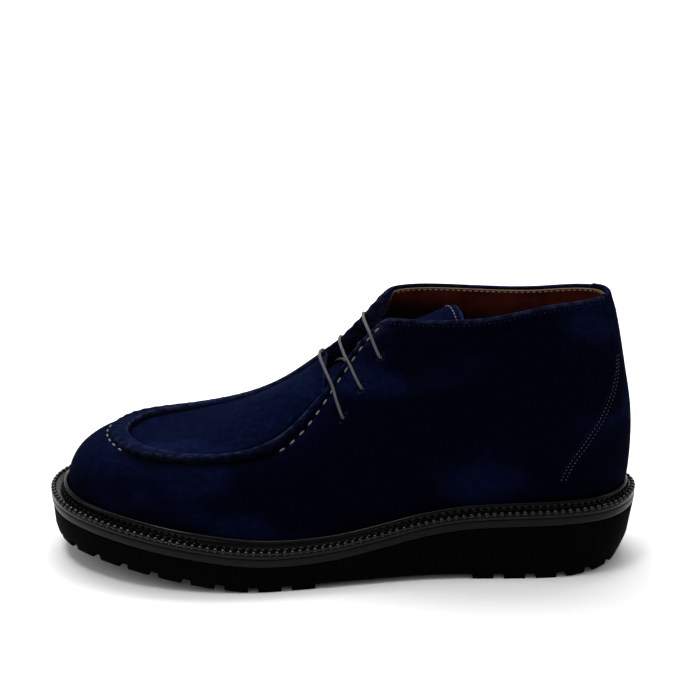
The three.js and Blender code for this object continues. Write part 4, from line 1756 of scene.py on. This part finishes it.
        # drop below the top edge and depth inside the suede's face, from the raw edge down
        drops = np.array([2.1, 1.9, 1.75, 1.75, 1.9, 2.3, 3.5, 6.0, 9.0, 13.0])
        depths = np.array([2.1, 2.3, 2.5, 2.7, 2.85, 2.9, 2.9, 2.9, 2.9, 2.9])
        high = last.up_at(rows[None, :], drops[::-1, None] + self.lining_tuck * self.facing(rows)[None, :])
        low = np.linspace(0.02, 1, self.lining_levels)[:-1, None] * high[:1]
        ups = np.concatenate([low, high])
        depth = np.concatenate([np.full(len(low), depths[-1]), depths[::-1]])[:, None] * np.ones_like(ups)
        folds = 0.5 * np.exp(-(((from_heel - 1.9) / 0.16) ** 2))
        folds = folds + 0.3 * np.sin(rows * 4.3) * smooth(3.5 - from_heel)
        wrinkles = folds[None, :] * np.sin(np.clip(ups, 0, 1) * math.pi) ** 0.5 * (depth > 2.88)
        wall = last.wall(rows[None, :], ups)
        wall = wall - last.normal(rows[None, :], ups) * (depth + wrinkles)[..., None]
        ids = np.arange(wall[..., 0].size).reshape(wall.shape[:2])
        first = round(last.throat * self.lining_per_row) + 3
        apron = np.arange(first, n // 2)[:, None] / self.lining_per_row
        shares = np.linspace(0.0, 1.0, self.lining_columns + 1)[None, :]
        sheet = last.apron(apron, shares) - last.apron_normal(apron, shares) * depths[-1]
        sheet_ids = ids.size + np.arange(sheet[..., 0].size).reshape(sheet.shape[:2])
        across = across_ids(ids[-1], sheet_ids[:, 1:-1], first)
        faces = [face[::-1] for face in grid_faces(ids, closed=True) + grid_faces(across[:, ::-1])]
        points = np.concatenate([wall.reshape(-1, 3), sheet.reshape(-1, 3)])
        # Painted shade: the lining under the apron is fully dark; the wall's lining darkens with depth below
        # the top edge, sooner towards the toe.
        crests, painted_shades = np.zeros(len(points)), np.ones(len(points))
        raw = np.clip((2.2 - np.concatenate([np.full(len(low), 9.0), drops[::-1]])) / 0.25, 0, 1)
        crests[: ids.size] = (raw[:, None] * (1 - self.facing(rows))[None, :]).ravel()
        ahead = smooth((from_heel - 1.5) / 4.5)[None, :]
        deep = smooth((last.drop_at(rows[None, :], ups) - 6 + 2 * ahead) / (24 - 15 * ahead))
        painted_shades[: ids.size] = deep.ravel()
        values = {"crest": crests, "hollow": painted_shades}
        lining = new_mesh("leather_lining", points, faces, self.finishes[Finish.LINING], values)
        place(lining, "lining")

    def sew_line(
        self,
        name: str,
        row: Row,
        drop: Line,
        ends: tuple[float, float],
        depth: float = 0.0,
        lift: Line | None = None,
    ) -> None:
        """Sew a row of stitches at a distance below the top edge.

        Args:
            name: The piece's name.
            row: The kind of row.
            drop: Gives the distance below the top edge at each section, mm.
            ends: First and last section.
            depth: How far the row lies inside the wall when it is on the lining, mm.
            lift: Gives the height of the stitches' middles over the face, mm.
        """
        last = self.last

        def level(rows: Array) -> Array:
            """Return the row's share of the wall's curve."""
            return last.up_at(rows, drop(rows))

        def line(rows: Array) -> Array:
            """Return the row's points."""
            up = level(rows)
            return last.wall(rows, up) - last.normal(rows, up) * depth if depth else self.raised(rows, up)[0]

        def out(rows: Array) -> Array:
            """Return the direction out of the face that carries the row."""
            return last.normal(rows, level(rows)) * (-1 if depth else 1)

        self.sewing.sew(name, row, line, out, ends, lift=lift)

    def build_stitches(self) -> None:
        """Sew the apron seam, the collar, the lining and the facings."""
        start = self.saddle_start

        def saddle_lift(rows: Array) -> Array:
            """Return the saddle stitches' height, low where they are pulled in."""
            return 0.15 - 0.75 * self.sunk(rows)

        def steady(value: float) -> Line:
            """Return the same value at every section."""
            return lambda rows: np.full_like(rows, value)

        saddle = (start, self.last.rows - start)
        self.sew_line("saddle_stitches", Row.SADDLE, self.saddle_drop, saddle, lift=saddle_lift)
        self.sew_line("collar_stitches", Row.COLLAR, steady(2.2), (-start, start), lift=steady(-0.05))
        self.sew_line("lining_stitches", Row.LINING, steady(2.9), (-6.2, 6.2), self.lining_depth)
        for side, ends in {"medial": (-9.1, -6.75), "lateral": (6.75, 9.1)}.items():
            name = f"facing_stitches_{side}"
            self.sew_line(name, Row.FACING, steady(9.5), ends, self.lining_depth, steady(0.35))

    def build(self) -> None:
        """Build every piece of the upper."""
        self.build_suede()
        self.build_lining()
        self.build_stitches()


@dataclass
class HeelCounter:
    """The suede patch round the heel with the back strip that folds over the collar."""

    upper: Upper
    finishes: Finishes
    sewing: Sewing
    thickness: float = 1.1
    over_collar: float = 0.55
    columns: int = 80
    levels: int = 110
    round_edge: float = 0.9
    foot: float = 0.075
    tip: float = 1.07
    row_insets: tuple[float, float] = (1.5, 3.6)
    sewn_levels: tuple[float, float] = (0.16, 0.72)
    stitch_sink: float = 0.12

    def __post_init__(self) -> None:
        """Read the patch's widths."""
        table = read_table(COUNTER_WIDTHS)
        self.half = AlongCurve(table["up"], table["half"])

    def span(self, up: Array) -> Array:
        """Return half the patch's width, in millimetres along the wall.

        Args:
            up: Share of the wall's curve.

        Returns:
            The half widths.
        """
        last = self.upper.last
        half = self.half(np.minimum(up, 0.97))
        on = np.minimum(up, 1.0)
        return np.linalg.norm(last.wall(half, on) - last.wall(half * 0.9, on), axis=-1) * 10

    def face(self, across: Array, up: Array, height: Array) -> Array:
        """Return points over the upper, up the wall and then over the collar.

        Args:
            across: Place across the patch, from -1 to 1.
            up: Share of the wall's curve, and past 1 the way over the collar.
            height: Height over the upper, mm.

        Returns:
            The points.
        """
        last = self.upper.last
        row = self.half(np.minimum(up, 0.97)) * across
        on = np.minimum(up, 1.0)
        base = self.upper.raised(row, on)[0]
        out = last.normal(row, on)
        way = last.rise(row, np.ones_like(on))
        over = np.clip((up - 1) / 0.03, 0, 1) * math.pi
        down = np.maximum(up - 1.03, 0) * 90
        r = self.upper.fold
        turned = out * np.cos(over)[..., None] + way * np.sin(over)[..., None]
        centre = base - out * r - way * down[..., None]
        flat = base + out * height[..., None]
        return np.where((up <= 1)[..., None], flat, centre + turned * (r + height)[..., None])

    def build(self) -> None:
        """Build the patch and its two rows of stitches."""
        across = np.linspace(-1, 1, self.columns + 1)
        across = np.sign(across) * (1 - (1 - np.abs(across)) ** 1.6)
        rise = np.linspace(self.foot, 0.99, self.levels)
        ups = np.concatenate([rise, np.linspace(1.0, 1.03, 8), [1.045, 1.06, self.tip]])
        u, v = np.meshgrid(across, ups)
        to_side = (1 - np.abs(u)) * self.span(v)
        to_end = np.minimum((v - self.foot) * 95, (self.tip - v) * 90)
        edge = np.minimum(to_side, to_end)
        near = np.clip(edge / self.round_edge, 0, 1)
        thick = self.thickness + (self.over_collar - self.thickness) * smooth((v - 0.9) / 0.1)
        row_dip = sum(0.22 * np.exp(-(((to_side - inset) / 0.5) ** 2)) for inset in self.row_insets)
        height = 0.1 + (thick - 0.1) * np.sqrt(1 - (1 - near) ** 2) - row_dip * (v < 0.9)
        outer = self.face(u, v, height)
        inner = self.face(u, v, np.full_like(u, -0.15))
        # Painted highlight and wear, faint, near the patch's edges.
        crest = np.clip(1 - edge / 1.2, 0, 1) * 0.08
        place(plate("heel_patch", outer, inner, self.finishes[Finish.SUEDE], crest), "suede", "heel_counter")
        for side in (-1, 1):
            for number, inset in enumerate(self.row_insets):
                self.sew_row(side, number, inset)

    def sew_row(self, side: int, number: int, inset: float) -> None:
        """Sew one row beside the patch's front edge.

        Args:
            side: 1 on the lateral side and -1 on the medial side.
            number: Which row, from the edge.
            inset: Distance from the edge, mm.
        """
        last = self.upper.last

        def across(up: Array) -> Array:
            """Return the row's place across the patch.

            Args:
                up: Share of the wall's curve.

            Returns:
                The place, from -1 to 1.
            """
            d = 0.01
            half, wide = self.half(up), self.span(up)
            slope = (self.half(up + d) - self.half(up - d)) / (2 * d)
            tall = np.linalg.norm(last.wall(half, up + d) - last.wall(half, up - d), axis=-1) / (2 * d)
            slant = np.sqrt(1 + (slope * wide / half / tall) ** 2)
            return side * (1 - inset * slant / wide)

        def line(up: Array) -> Array:
            """Return the row's points."""
            return self.face(across(up), up, np.full_like(up, self.thickness - self.stitch_sink))

        def out(up: Array) -> Array:
            """Return the direction out of the patch."""
            return last.normal(self.half(up) * across(up), up)

        name = f"heel_stitches_{'lateral' if side > 0 else 'medial'}_{number + 1}"
        self.sewing.sew(name, Row.HEEL, line, out, self.sewn_levels, 0.003)


@dataclass
class Tongue:
    """The tongue under the throat, its free end inside the collar."""

    finishes: Finishes
    sewing: Sewing
    thickness: float = 2.4
    rows: int = 80
    columns: int = 40
    sewn_share: float = 0.972

    def surface(self, share: Array, across: Array, depth: Array | float) -> Array:
        """Return points at a depth under the tongue's outer face.

        Args:
            share: From the toe end to the free end, 0 to 1.
            across: From the medial to the lateral side, -1 to 1.
            depth: Distance under the outer face, mm.

        Returns:
            The points.
        """
        table = read_table(TONGUE)
        steps = np.arange(len(table["y"])) / (len(table["y"]) - 1)
        names = ("y", "z", "slope", "bend", "half")
        y, z, slope, bend, half = (AlongCurve(steps, table[name])(share) for name in names)
        x = half * across
        tilt = unit(np.stack([slope + 2 * bend * x, np.full_like(x, -0.75), np.ones_like(x)], axis=-1))
        ripple = 0.35 * np.sin(share * 17 + across) * (1 - np.abs(across))
        free = smooth((share - 0.6) / 0.4)
        height = z - slope * x - bend * x * x + ripple - 1.3 * free
        p = np.stack([x, y + 0.24 * (x + 3) * free, height], axis=-1)
        return p - tilt * np.asarray(depth)[..., None]

    def over(self, x: Array, y: Array, lift: float) -> Array:
        """Return points over the tongue's outer face at x and y.

        Args:
            x: Places across the tongue, mm.
            y: Places along it, mm.
            lift: Height off its face, mm.

        Returns:
            The points.
        """
        table = read_table(TONGUE)
        z, slope, bend = (np.interp(y, table["y"], table[k]) for k in ("z", "slope", "bend"))
        return np.stack([x, y, z - slope * x - bend * x * x + lift * 1.3], axis=-1)

    def build(self) -> None:
        """Build the tongue and the stitches along its free end."""
        share = np.linspace(0, 1, self.rows)
        across = np.sin(np.linspace(-1, 1, self.columns) * math.pi / 2)[::-1]
        u, v = np.meshgrid(across, share)
        near = np.clip(np.minimum((1 - np.abs(u)) * 17, (1 - v) * 75) / 0.8, 0, 1)
        sink = self.thickness * 0.5 * (1 - np.sqrt(1 - (1 - near) ** 2))
        outer = self.surface(v, u, sink)
        inner = self.surface(v, u, self.thickness - sink)
        # Painted highlight and wear along the tongue's edges.
        crest = np.clip(1 - near, 0, 1) * 0.5
        tongue = plate("suede_tongue", outer, inner, self.finishes[Finish.SUEDE], crest)
        place(tongue, "suede", "tongue")

        def line(at: Array) -> Array:
            """Return the row's points."""
            return self.surface(np.full_like(at, self.sewn_share), at, 0.0)

        def out(at: Array) -> Array:
            """Return the direction out of the tongue.

            Args:
                at: Places across the tongue.

            Returns:
                The directions, turned upwards.
            """
            ahead = self.surface(np.full_like(at, self.sewn_share + 0.013), at, 0.0) - line(at)
            ups = unit(np.cross(unit(line(at + 0.01) - line(at - 0.01)), unit(ahead)))
            return ups * np.sign(ups[:, 2:3])

        self.sewing.sew("tongue_stitches", Row.TONGUE, line, out, (-0.9, 0.9))


@dataclass
class Lacing:
    """The lace, run through punched holes: three bars over the throat and two crossings under the facings."""

    upper: Upper
    tongue: Tongue
    finishes: Finishes
    radius: float = 0.74
    samples: int = 640
    easing: float = 5.0

    def __post_init__(self) -> None:
        """Read the bars and tell the upper where its holes are."""
        table = read_table(LACE_BARS)
        self.bars = [{key: float(c[i]) for key, c in table.items()} for i in range(len(table["eyelet"]))]
        rows = self.upper.last.rows
        self.eyelets = [(bar["eyelet"], bar["drop"]) for bar in self.bars]
        self.eyelets += [(rows - bar["medial_eyelet"], bar["medial_drop"]) for bar in self.bars]
        self.upper.holes = [self.upper.over(row, drop, 0.0) for row, drop in self.eyelets]

    def under(self, target: Array, row: float, drop: float) -> tuple[float, float]:
        """Return the row and drop of the suede's point nearest to a target.

        Args:
            target: A point near the suede.
            row: First guess of the row.
            drop: First guess of the drop, mm.

        Returns:
            The row and the drop.
        """
        for _ in range(8):
            here = self.upper.over(row, drop, 0.0)
            by_row = (self.upper.over(row + 0.05, drop, 0.0) - here) / 0.05
            by_drop = (self.upper.over(row, drop + 0.5, 0.0) - here) / 0.5
            step = np.linalg.lstsq(np.stack([by_row, by_drop], axis=1), target - here, rcond=None)[0]
            row, drop = row + 0.7 * step[0], max(0.3, drop + 0.7 * step[1])
        return row, drop

    def half_path(self, eyelet: float, drop: float, edge: float, medial: bool) -> Array:
        """Return the lace from inside its hole, straight over the suede, to the facing's edge.

        Args:
            eyelet: The hole's section, counted from the heel.
            drop: The hole's distance below the facing's edge, mm.
            edge: The section where the lace crosses the facing's edge.
            medial: Whether the hole is on the medial side.

        Returns:
            The points.
        """
        last = self.upper.last
        start, end = (last.rows - eyelet, last.rows - edge) if medial else (eyelet, edge)
        mouth, brink = self.upper.over(start, drop, 0.0), self.upper.over(end, 0.3, 0.0)
        points = [self.upper.over(start, drop, -4.6), self.upper.over(start, drop, -1.0)]
        row, down = start, drop
        for share in (0.05, 0.3, 0.6, 0.82):
            row, down = self.under(mouth + (brink - mouth) * share, row, down)
            points.append(self.upper.over(row, down, self.radius + 0.05))
        points.append(self.upper.over(end, 0.3, self.radius + 0.15))
        return np.array(points)

    def crossing(self, start: Array, end: Array) -> Array:
        """Return the lace's points on the tongue between two holes.

        Args:
            start: The lace just inside the first hole.
            end: The lace just inside the second hole.

        Returns:
            Points over the tongue.
        """
        x = np.array([-13.0, -7.0, 0.0, 7.0, 13.0])
        y = np.interp(x, [start[0], end[0]], [start[1] - 6, end[1] - 2])
        return self.tongue.over(x, y, self.radius + 0.15)

    def build(self) -> None:
        """Build the lace and the holes."""
        knots = []
        for i, bar in enumerate(self.bars):
            lateral = self.half_path(bar["eyelet"], bar["drop"], bar["edge"], False)
            medial = self.half_path(bar["medial_eyelet"], bar["medial_drop"], bar["medial_edge"], True)
            middle = (lateral[-1] + medial[-1]) / 2 + np.array([0, -0.6, 0.8]) * bar["arch"]
            if knots:
                knots.append(self.crossing(knots[-1][-1], lateral[0]))
            knots += [lateral, middle[None], medial[::-1]]
        path = self.eased(np.concatenate(knots))
        nodes = [f"lace_bar_{i + 1}" for i in range(len(self.bars))]
        place(tube("lace", path, self.radius, 12, self.finishes[Finish.LACE]), "lace", *nodes)
        for number, (row, drop) in enumerate(self.eyelets):
            self.build_hole(f"eyelet_{number + 1}", row, drop)

    def eased(self, knots: Array) -> Array:
        """Run a smooth curve through the lace's points, and ease its bends away from the holes.

        Args:
            knots: The points.

        Returns:
            The lace's path.
        """
        t = walked(knots)
        fine = np.linspace(0, t[-1], self.samples)
        path = np.stack([AlongCurve(t, knots[:, k], 6000)(fine) for k in range(3)], axis=1)
        reach = round(self.easing / (fine[1] - fine[0]))
        window = np.hanning(2 * reach + 3)[1:-1]
        padded = np.pad(path, ((reach, reach), (0, 0)), mode="edge")
        window /= window.sum()
        eased = np.stack([np.convolve(padded[:, k], window, "valid") for k in range(3)], axis=1)
        mouths = np.array([self.upper.over(row, drop, 0.0) for row, drop in self.eyelets])
        away = np.linalg.norm(path[:, None, :] - mouths[None, :, :], axis=2).min(axis=1)
        return path + (eased - path) * smooth((away - 2.5) / 4.0)[:, None]

    def build_hole(self, name: str, row: float, drop: float) -> None:
        """Build the turned-in mouth of a punched hole.

        Args:
            name: The piece's name.
            row: Section of the loop.
            drop: Distance below the facing's edge, mm.
        """
        last = self.upper.last
        up = last.up_at(np.array(row), np.array(drop))
        pitch = np.linalg.norm(last.wall(row + 0.05, up) - last.wall(row - 0.05, up)) * 10
        # radius of the ring, its height over the suede, how pale it is painted as highlight and wear
        profile = ((2.9, -0.12, 0), (2.6, 0.05, 0.1), (2.2, 0.13, 0.25), (1.85, 0.1, 0.3))
        profile += ((1.55, -0.1, 0.2), (1.35, -0.5, 0), (1.3, -1.2, 0), (1.3, -2, 0))
        angles = np.linspace(0, 2 * math.pi, 28, endpoint=False)
        loops = np.array(
            [
                self.upper.over(row + radius * np.cos(angles) / pitch, drop - radius * np.sin(angles), height)
                for radius, height, _ in profile
            ]
        )
        faces = grid_faces(np.arange(loops[..., 0].size).reshape(loops.shape[:2]), closed=True)
        crest = np.repeat([highlight_and_wear for *_, highlight_and_wear in profile], len(angles))
        place(new_mesh(name, loops, faces, self.finishes[Finish.SUEDE], {"crest": crest}), "suede")


# ------------ the studio
@dataclass
class Studio:
    """Floor, light and camera."""

    camera_at: tuple[float, float, float] = (0.495, 0.024, 0.247)
    pitch: float = 15.8
    yaw: float = -2.1
    roll: float = -0.35
    sensor: float = 36
    lens: float = 52.457
    horizon: float = 0.10
    zenith: float = 0.55

    def build(self) -> None:
        """Build the studio."""
        self.build_floor()
        self.build_light()
        self.build_camera()

    def build_floor(self) -> None:
        """Lay a pale floor that curves up into a backdrop behind the boot."""
        profile = [(3.0, 0.0), (-1.2, 0.0)]
        bend = np.linspace(0.1, math.pi / 2, 12)
        profile += [(-1.2 - 0.8 * math.sin(a), 0.8 - 0.8 * math.cos(a)) for a in bend]
        profile += [(-2.0, 3.5)]
        points = np.array([[(x, y, z) for y in (-4.0, 4.0)] for x, z in profile]) / MM
        ids = np.arange(len(profile) * 2).reshape(len(profile), 2)
        g, shader, where = start_material("studio floor", Roughness=0.9, Specular_IOR_Level=0.1)
        tone = g.mix(g.ramp(g.noise(where, 3.0), 0.3, 0.7), rgb(0.86, 0.865, 0.87), rgb(0.88, 0.88, 0.88))
        g.tree.links.new(tone, shader.inputs["Base Color"])
        floor = new_mesh("studio_floor", points, grid_faces(ids), bpy.data.materials["studio floor"])

    def build_light(self) -> None:
        """Set soft lights over and around the boot."""
        world = bpy.data.worlds.new("studio")
        world.use_nodes = True
        g = Graph(world.node_tree)
        way = g.add("ShaderNodeSeparateXYZ", {0: g.add("ShaderNodeTexCoord").outputs["Generated"]})
        sky = g.mix(g.ramp(way.outputs["Z"], -0.05, 0.75), rgb(*[self.horizon] * 3), rgb(*[self.zenith] * 3))
        world.node_tree.links.new(sky, world.node_tree.nodes["Background"].inputs["Color"])
        bpy.context.scene.world = world
        bpy.context.scene.view_settings.view_transform = "Standard"
        lamps = (
            # name, place, aim, size, watts
            ("overhead", (-0.35, -0.15, 1.5), (0.0, 0.0, 0.0), 1.3, 12.5),
            ("key", (0.30, -0.30, 1.30), (0.0, 0.0, 0.05), 0.26, 4.5),
            ("toe", (0.35, -1.5, 0.8), (0.0, -0.1, 0.05), 0.7, 3.0),
            ("heel", (0.1, 1.5, 0.9), (0.0, 0.1, 0.05), 0.7, 3.0),
            ("backdrop", (-0.5, 0.0, 1.3), (-1.9, 0.0, 0.3), 1.5, 26.0),
        )
        for name, at, aim, size, watts in lamps:
            data = bpy.data.lights.new(name, "AREA")
            data.shape = "DISK"
            data.size = size
            data.energy = watts
            lamp = link(name, data)
            lamp.location = at
            lamp.rotation_euler = (Vector(aim) - Vector(at)).to_track_quat("-Z", "Y").to_euler()

    def build_camera(self) -> None:
        """Place the camera beside the boot's outer side."""
        pitch, yaw, roll = (math.radians(v) for v in (self.pitch, self.yaw, self.roll))
        ahead = Vector((-math.cos(pitch) * math.cos(yaw), math.cos(pitch) * math.sin(yaw), -math.sin(pitch)))
        right = ahead.cross(Vector((0, 0, 1))).normalized()
        up = right.cross(ahead)
        level = right * math.cos(roll) + up * math.sin(roll)
        tall = -right * math.sin(roll) + up * math.cos(roll)
        data = bpy.data.cameras.new("camera")
        data.sensor_width = self.sensor
        data.lens = self.lens
        camera = link("camera", data)
        turn = Matrix((level, tall, -ahead)).transposed()
        camera.matrix_world = Matrix.Translation(self.camera_at) @ turn.to_4x4()
        bpy.context.scene.camera = camera


def main() -> None:
    """Build the boot around its frame."""
    logging.basicConfig(level=logging.INFO, format="%(name)s %(message)s")
    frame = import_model()
    Studio().build()
    finishes = Finishes()
    last = Last()
    sewing = Sewing(finishes)
    Sole(last, finishes, sewing).build(frame["nodes"])
    upper = Upper(last, finishes, sewing)
    tongue = Tongue(finishes, sewing)
    lacing = Lacing(upper, tongue, finishes)
    upper.build()
    HeelCounter(upper, finishes, sewing).build()
    tongue.build()
    lacing.build()


if __name__ == "__main__":
    main()
